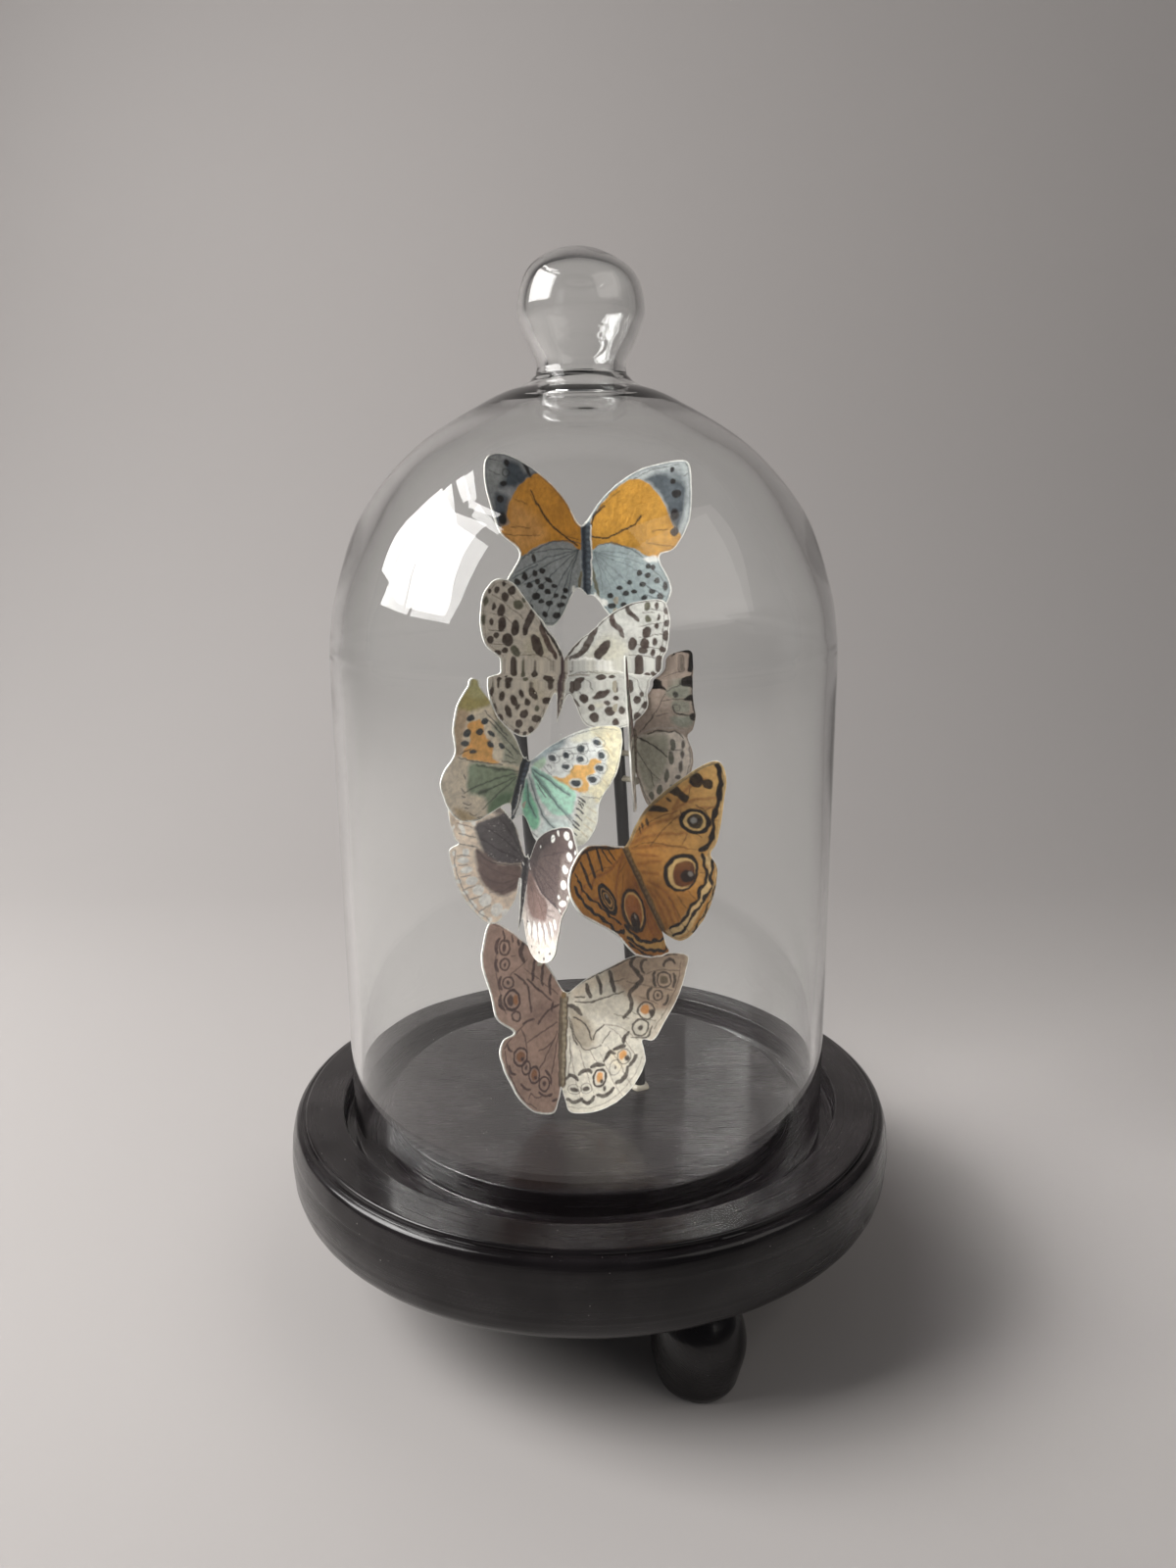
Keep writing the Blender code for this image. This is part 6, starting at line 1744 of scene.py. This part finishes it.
    sheet.rings([(8.1, -7.6, 1.3, 1.75, 15)], ink, 0.36)
    orange = (0.66, 0.31, 0.09)
    sheet.spots([(8.1, -7.5, .72, 1.15, 15), (12.8, -2.9, .7, 1.0, 30)], orange, 0.3)
    sheet.spots([(8.5, -8.3, .4, .4), (9.1, -9.6, .35, .55, 15), (13.8, -3.5, .5, .6),
        (11.3, -5.5, .25, .4)], ink, 0.25)
    sheet.rings([(13.1, -3.2, 1.35, 1.5, 30)], ink, 0.2, amount=0.8)
    # Left forewing
    sheet.strokes([[(-10.1, 19.5), (-10.7, 17.5), (-10, 15.7)]], plum, 1.1)
    sheet.strokes([[(-7.1, 16.6), (-7.7, 14), (-7.7, 11.9)]], plum, 0.8)
    sheet.strokes([[(-5.3, 15.2), (-5.6, 13), (-5.3, 11)], [(-3.4, 13.2), (-3.6, 11.4), (-3.3, 9.2)]], plum,
        0.7)
    sheet.strokes([[(-8.9, 12.1), (-6, 9.9), (-3, 7.9)], [(-12, 13.1), (-9.1, 11), (-8.1, 8), (-7.8, 5.4)],
        [(-1.2, 7), (-4, 5.6), (-6, 3)], [(-9.6, 3.1), (-8.2, 3.8), (-7, 4)], [(-2.6, 7.4), (-2.8, 5.8)],
        [(-15.1, 21.8), (-14.7, 20)], [(-13, 20.9), (-12.6, 19.6)], [(-11.4, 20), (-11.2, 19)]], plum, 0.5)
    sheet.strokes([[(-1.0, 10.6), (-4.8, 15.6), (-9, 18.8), (-13.5, 21.8), (-17.4, 23)], [(-1.4, 9.2),
        (-5, 11.4), (-9.6, 14.2)], [(-12.4, 5.9), (-13.8, 5.9)], [(-15.9, 19.8), (-16.5, 15), (-15.6, 10.4),
        (-13.6, 5)], [(-12.0, 16.8), (-13.0, 16.6)], [(-9, 16.2), (-13, 12.8)]], plum, 0.24, amount=0.8)
    sheet.rings([(-14.5, 18.4, 1.2, 1.45), (-14.3, 15, 1.1, 1.2), (-13.4, 11.3, 1.2, 1.2),
        (-11.2, 4.6, 1.0, 1.0)], plum, 0.42, amount=0.9)
    sheet.rings([(-12.3, 7.8, 1.75, 1.95)], plum, 0.5)
    sheet.spots([(-14.6, 18.4, .45, .9), (-14.3, 15, .35, .5), (-13.4, 11.3, .35, .45),
        (-12.7, 7.7, .7, 1.2)], plum, 0.25)
    sheet.spots([(-11.5, 7.9, .6, 1.1)], (0.36, 0.14, 0.045), 0.3)
    sheet.arcs([(-14.4, 18.4, 2.2, 2.2, 130, 215), (-14.3, 15, 2.1, 1.9, 150, 225),
        (-13.4, 11.4, 2.1, 2.0, 150, 225), (-12.2, 7.8, 2.9, 2.6, 160, 230)], plum, 0.75)
    # Left hindwing
    sheet.rings([(-10, -3.6, 1.55, 1.85), (-8.6, -5.8, .95, 1.3), (-6.6, -7.3, 1.25, 1.6),
        (-4.2, -9.1, 1.25, 1.45)], plum, 0.36)
    sheet.spots([(-10, -3.6, .95, 1.15), (-6.6, -7.2, .75, 1.15)], (0.26, 0.105, 0.04), 0.3)
    sheet.spots([(-9.6, -4.1, .4, .5), (-6.3, -7.8, .4, .45), (-8.6, -5.8, .3, .5), (-4.2, -9.1, .4, .55)],
        plum, 0.25)
    sheet.strokes([[(-13.1, -1.4), (-12.6, -2.2), (-11.9, -2.5)], [(-9.6, -9.0), (-8.6, -10),
        (-7.5, -10.2)], [(-12.4, -5.6), (-11.9, -6.8), (-11, -7.2)], [(-4, -6.5), (-2.8, -7.4),
        (-2.5, -9.2)], [(-5.4, -10.9), (-4, -11.6), (-2.4, -11.2)], [(-2.2, -12.6), (-1.2, -12.2)]], plum,
        0.55)
    sheet.strokes([[(-7.9, -12), (-7.3, -11.1), (-6, -11.8), (-4.8, -11.6)], [(-10, 2), (-9.1, .4),
        (-8.5, -3)], [(-5.8, -2.5), (-3.5, -1.4), (-2.2, -.2)], [(-1.3, 3.4), (-5, 1.4), (-8.6, -0.8)],
        [(-1.3, 1.6), (-3.6, -3), (-5.4, -6)], [(-1.2, 0.4), (-2, -5), (-2.4, -7)], [(-8.6, 3.6),
        (-12, 0.4), (-14, -2)], [(-13.6, -2.4), (-12.3, -7.2), (-9.4, -11.8), (-6, -14)]], plum, 0.32,
        amount=0.85)
    sheet.body(8.4, -9.4, 0.75, (0.12, 0.085, 0.050), (0.36, 0.29, 0.19), (0.085, 0.056, 0.036))
    sheet.spots([(0, 9.1, .55, .8)], (0.22, 0.13, 0.045), 0.25)
    sheet.strokes([[(0.1, 7.4), (0.3, 3.4), (0.2, -7.4)]], (0.34, 0.28, 0.19), 0.3, 0.3, 0.7)


PRINTS = {
    "butterfly_1": print_orange_wing,
    "butterfly_2": print_leopard,
    "butterfly_3": print_taupe,
    "butterfly_4": print_mint,
    "butterfly_5": print_brown,
    "butterfly_6": print_owl,
    "butterfly_7": print_cream,
}


# ---------------------------------------------------------------------------------------------
# Butterflies: building the sheets
# ---------------------------------------------------------------------------------------------

def walk_evenly(points, step):
    """Points about `step` apart along the closed line through the given ones."""
    closed = np.vstack([points, points[:1]])
    lengths = np.hypot(*np.diff(closed, axis=0).T)
    total = np.concatenate([[0.0], np.cumsum(lengths)])
    stops = np.linspace(0.0, total[-1], int(total[-1] / step) + 1)[:-1]
    return np.stack([np.interp(stops, total, closed[:, axis]) for axis in (0, 1)], axis=1)


def sheet_ring(spec, step, seed):
    """The cut line in millimetres, from the head round the right wing, the tail and the left wing."""
    head, tail = (0.0, spec["body"] / 2), (0.0, -spec["body"] / 2)
    left = [(-x, y) for x, y in reversed(spec["left"])]
    right_side = smooth_line([head, *spec["right"], tail], 5)
    left_side = smooth_line([tail, *left, head], 5)
    ring = walk_evenly(np.array(right_side[:-1] + left_side[:-1]), step)
    scissor = cloud(ring[:, 0], ring[:, 1], 1.3, seed)
    away = ring / np.maximum(np.hypot(ring[:, 0], ring[:, 1]), 0.5)[:, None]
    return ring + away * (0.07 * scissor)[:, None] * (np.abs(ring[:, :1]) > 1.5)


def sheet_points(ring, spacing):
    """Points in a honeycomb pattern inside the ring, clear of its edge."""
    low, high = ring.min(axis=0), ring.max(axis=0)
    rows = np.arange(low[1], high[1], spacing * math.sqrt(3) / 2)
    columns = np.arange(low[0], high[0], spacing)
    x, y = np.meshgrid(columns, rows)
    x = (x + (np.arange(len(rows)) % 2)[:, None] * spacing / 2).ravel()
    y = y.ravel()
    keep = inside_of(x, y, ring)
    x, y = x[keep], y[keep]
    edge, _ = distance_to(x, y, np.vstack([ring[::3], ring[:1]]))
    clear = edge > spacing * 0.62
    return x[clear], y[clear]


def fold(x, y, spec, paper, seed):
    """The flat sheet folded forward along the body, as positions in millimetres."""
    reach = np.sqrt(x * x + 0.35)
    wing = np.clip((reach - 0.8) / 2.0, 0.0, 1.0)
    left, right = np.radians(spec["folds"][0]), np.radians(spec["folds"][1])
    angle = np.where(x < 0.0, left, right)
    forward = (reach - 0.59) * np.sin(angle)
    half = spec["body"] / 2
    ends = np.clip((half - np.abs(y)) / 2.2, 0.0, 1.0)
    ridge = paper.ridge / MM * np.exp(-(x / 0.85) ** 2) * np.sqrt(ends)
    curl = paper.curl / MM * (cloud(x, y, 7.0, seed) * 0.8 + 0.35 * cloud(x, y, 2.6, seed + 1)) * wing
    across = x * np.cos(angle) + np.where(x < 0, -1, 1) * curl * np.sin(angle)
    return np.stack([across, -(forward + ridge + curl * np.cos(angle)), y], axis=1)


def build_butterfly(name, spec, paper, seed):
    """One thin sheet: cut, meshed, painted, folded and stood in its place."""
    spacing = paper.spacing / MM
    ring = sheet_ring(spec, spacing * 1.15, seed)
    x, y = sheet_points(ring, spacing)
    corners = [Vector(p) for p in ring] + [Vector((a, b)) for a, b in zip(x, y)]
    flat, _, faces, *_ = delaunay_2d_cdt(corners, [], [list(range(len(ring)))], 1, 1e-6)
    flat = np.array([tuple(p) for p in flat])
    x, y = flat[:, 0], flat[:, 1]
    edge, _ = distance_to(x, y, np.vstack([ring, ring[:1]]))
    sheet = Print(x, y, edge, tuple(paper.white), seed * 10)
    PRINTS[name](sheet, paper)
    shades = sheet.finish(spec)
    place = placement(spec)
    folded = fold(x, y, spec, paper, seed) * MM
    standing = folded @ np.array(place.to_3x3()).T + np.array(place.translation)

    printed = paper_finish(name + "_print", tuple(paper.white), True)
    bare = paper_finish(name + "_back", tuple(paper.white), False)
    triangles = [tuple(face) for face in faces]
    item = new_object("paper_" + name, standing.tolist(), triangles, printed, bare)
    opaque = np.ones((len(shades), 1))
    layer = item.data.attributes.new("print", "FLOAT_COLOR", "POINT")
    layer.data.foreach_set("color", np.hstack([shades, opaque]).astype(np.float32).ravel())
    return item


class BUTTERFLYDOME_OT_butterflies(bpy.types.Operator):
    """Cut, print, fold and thicken the seven paper butterflies"""
    bl_idname = "butterflydome.butterflies"
    bl_label = "Paper butterflies"

    def execute(self, context):
        paper = context.scene.dome_paper
        for number, (name, spec) in enumerate(BUTTERFLIES.items(), start=1):
            item = build_butterfly(name, spec, paper, 40 + number)
            thick = item.modifiers.new("Thickness", "SOLIDIFY")
            thick.thickness = paper.thickness
            thick.offset = 0.0
            thick.material_offset = 1
            thick.material_offset_rim = 1
            apply_modifiers(item, 50.0)
            finish_piece(item, name + "_paper", name)
        return {"FINISHED"}


# ---------------------------------------------------------------------------------------------
# Floor, light and camera
# ---------------------------------------------------------------------------------------------

# Camera: its place in metres, its turn, dip and roll in degrees, and its lens in millimetres
CAMERA_PLACE = (0.0, -0.236686, RIM + 0.121146)
CAMERA_TURN = 0.063
CAMERA_DIP = 12.920
CAMERA_ROLL = -0.474
LENS = 27.07
SENSOR = 36.0

# The pale sweep, in metres: half its width, where it starts and ends along y, its height at the
# back, and the radius of the bend from floor to backdrop
SWEEP_HALF = 1.6
SWEEP_FRONT = -1.2
SWEEP_BACK = 0.55
SWEEP_HEIGHT = 1.5
SWEEP_BEND = 0.30
BEND_STEPS = 12

# The point that the lights face
LIT_POINT = (0.0, 0.0, RIM + 0.100)

# The fill light: azimuth and elevation in degrees, distance, width and height in metres
FILL_DIRECTION = (58.0, 34.0)
FILL_DISTANCE = 0.9
FILL_SIZE = (0.7, 0.6)

# Light colours: the window, the fill and the even light from all round
WINDOW_WHITE = (1.0, 0.985, 0.965)
FILL_WHITE = (1.0, 0.95, 0.90)
SKY_WHITE = (0.86, 0.89, 0.95, 1.0)

# The window's panes: name, azimuth and elevation in degrees, width and height in metres
WINDOW_DISTANCE = 0.62
WINDOW = [
    ("pane_left", -95.0, 32.0, 0.22, 0.34),
    ("pane_right", -71.5, 32.0, 0.24, 0.34),
    ("strip_left", -96.0, 53.0, 0.15, 0.03),
    ("strip_right", -67.0, 53.0, 0.17, 0.03),
]
WINDOW_AREA = sum(wide * tall for _, _, _, wide, tall in WINDOW)


def pane_of_light(name, centre, wide, tall, power, shade):
    """A rectangular light that faces the dome."""
    light = bpy.data.lights.new(name, "AREA")
    light.shape = "RECTANGLE"
    light.size, light.size_y = wide, tall
    light.energy = power
    light.color = shade
    item = bpy.data.objects.new(name, light)
    bpy.context.scene.collection.objects.link(item)
    ahead = (Vector(LIT_POINT) - centre).normalized()
    item.matrix_world = Matrix.Translation(centre) @ ahead.to_track_quat("-Z", "Y").to_matrix().to_4x4()


def direction(azimuth, elevation):
    """Unit vector towards a place: azimuth 0 is the front, positive to the right."""
    a, e = math.radians(azimuth), math.radians(elevation)
    return Vector((math.sin(a) * math.cos(e), -math.cos(a) * math.cos(e), math.sin(e)))


def set_camera():
    """Stand the camera in front of the dome, looking slightly down."""
    turn, dip, roll = (math.radians(value) for value in (CAMERA_TURN, CAMERA_DIP, CAMERA_ROLL))
    forward = Vector((math.sin(turn) * math.cos(dip), math.cos(turn) * math.cos(dip), -math.sin(dip)))
    level = Vector((math.cos(turn), -math.sin(turn), 0.0))
    above = level.cross(forward)
    right = level * math.cos(roll) + above * math.sin(roll)
    up = above * math.cos(roll) - level * math.sin(roll)
    frame_of_view = Matrix((right, up, -forward)).transposed().to_4x4()
    frame_of_view.translation = Vector(CAMERA_PLACE)
    data = bpy.data.cameras.new("camera")
    data.sensor_fit = "AUTO"
    data.sensor_width = SENSOR
    data.lens = LENS
    data.clip_start = 0.01
    data.dof.use_dof = False
    item = bpy.data.objects.new("camera", data)
    bpy.context.scene.collection.objects.link(item)
    item.matrix_world = frame_of_view
    bpy.context.scene.camera = item


class BUTTERFLYDOME_OT_stage(bpy.types.Operator):
    """Lay the pale floor, and set the window light, the soft fill and the camera"""
    bl_idname = "butterflydome.stage"
    bl_label = "Floor, light and camera"

    def execute(self, context):
        settings = context.scene.dome_stage
        floor_height = cad_box[0][2]
        start = SWEEP_BACK - SWEEP_BEND
        profile = [(SWEEP_FRONT, 0.0), (start, 0.0)]
        for k in range(1, BEND_STEPS + 1):
            angle = math.radians(90.0 * k / BEND_STEPS)
            profile.append((start + SWEEP_BEND * math.sin(angle), SWEEP_BEND - SWEEP_BEND * math.cos(angle)))
        profile.append((SWEEP_BACK, SWEEP_HEIGHT))
        places = []
        for y, z in profile:
            places += [(-SWEEP_HALF, y, z + floor_height), (SWEEP_HALF, y, z + floor_height)]
        faces = [(2 * k, 2 * k + 1, 2 * k + 3, 2 * k + 2) for k in range(len(profile) - 1)]
        sheet = new_object("pale_sweep", places, faces, stage_finish(settings))

        for name, turn, rise, wide, tall in WINDOW:
            centre = Vector(LIT_POINT) + direction(turn, rise) * WINDOW_DISTANCE
            share = wide * tall / WINDOW_AREA
            pane_of_light(name, centre, wide, tall, settings.key * share, WINDOW_WHITE)
        centre = Vector(LIT_POINT) + direction(*FILL_DIRECTION) * FILL_DISTANCE
        pane_of_light("soft_fill", centre, *FILL_SIZE, settings.fill, FILL_WHITE)

        world = bpy.data.worlds.new("room")
        world.use_nodes = True
        backing = world.node_tree.nodes["Background"]
        backing.inputs["Color"].default_value = SKY_WHITE
        backing.inputs["Strength"].default_value = settings.sky
        context.scene.world = world
        context.scene.view_settings.view_transform = "Standard"
        set_camera()
        return {"FINISHED"}


class BUTTERFLYDOME_PT_panel(bpy.types.Panel):
    """Sizes and colours of the dome, with one button for each group of pieces"""
    bl_idname = "BUTTERFLYDOME_PT_panel"
    bl_label = "Butterfly dome"
    bl_space_type = "VIEW_3D"
    bl_region_type = "UI"
    bl_category = "Butterfly dome"

    def draw(self, context):
        layout = self.layout
        for group, (title, _, buttons) in SETTINGS.items():
            box = layout.box()
            box.label(text=title)
            values = getattr(context.scene, group)
            for field in values.bl_rna.properties.keys():
                if field not in {"rna_type", "name"}:
                    box.prop(values, field)
            for button in buttons:
                box.operator(button)


# Where each group of settings is kept in the scene: its title, its class, and its operators.
SETTINGS = {
    "dome_base": ("Base", BaseSettings, ("butterflydome.base", "butterflydome.dust")),
    "dome_feet": ("Feet", FeetSettings, ("butterflydome.feet",)),
    "dome_glass": ("Glass", GlassSettings, ("butterflydome.glass",)),
    "dome_rods": ("Rods", RodSettings, ("butterflydome.rods", "butterflydome.glue")),
    "dome_paper": ("Paper", PaperSettings, ("butterflydome.butterflies",)),
    "dome_stage": ("Stage", StageSettings, ("butterflydome.stage",)),
}

OPERATORS = (
    BUTTERFLYDOME_OT_base,
    BUTTERFLYDOME_OT_feet,
    BUTTERFLYDOME_OT_dust,
    BUTTERFLYDOME_OT_glass,
    BUTTERFLYDOME_OT_rods,
    BUTTERFLYDOME_OT_butterflies,
    BUTTERFLYDOME_OT_glue,
    BUTTERFLYDOME_OT_stage,
)


def register():
    for pointer, (_, group, _) in SETTINGS.items():
        bpy.utils.register_class(group)
        setattr(bpy.types.Scene, pointer, PointerProperty(type=group))
    for operator in OPERATORS:
        bpy.utils.register_class(operator)
    bpy.utils.register_class(BUTTERFLYDOME_PT_panel)


def unregister():
    bpy.utils.unregister_class(BUTTERFLYDOME_PT_panel)
    for operator in reversed(OPERATORS):
        bpy.utils.unregister_class(operator)
    for pointer, (_, group, _) in SETTINGS.items():
        delattr(bpy.types.Scene, pointer)
        bpy.utils.unregister_class(group)


def main():
    register()
    bpy.ops.butterflydome.base()
    bpy.ops.butterflydome.feet()
    bpy.ops.butterflydome.dust()
    bpy.ops.butterflydome.glass()
    bpy.ops.butterflydome.rods()
    bpy.ops.butterflydome.butterflies()
    bpy.ops.butterflydome.glue()
    bpy.ops.butterflydome.stage()


if __name__ == "__main__":
    main()
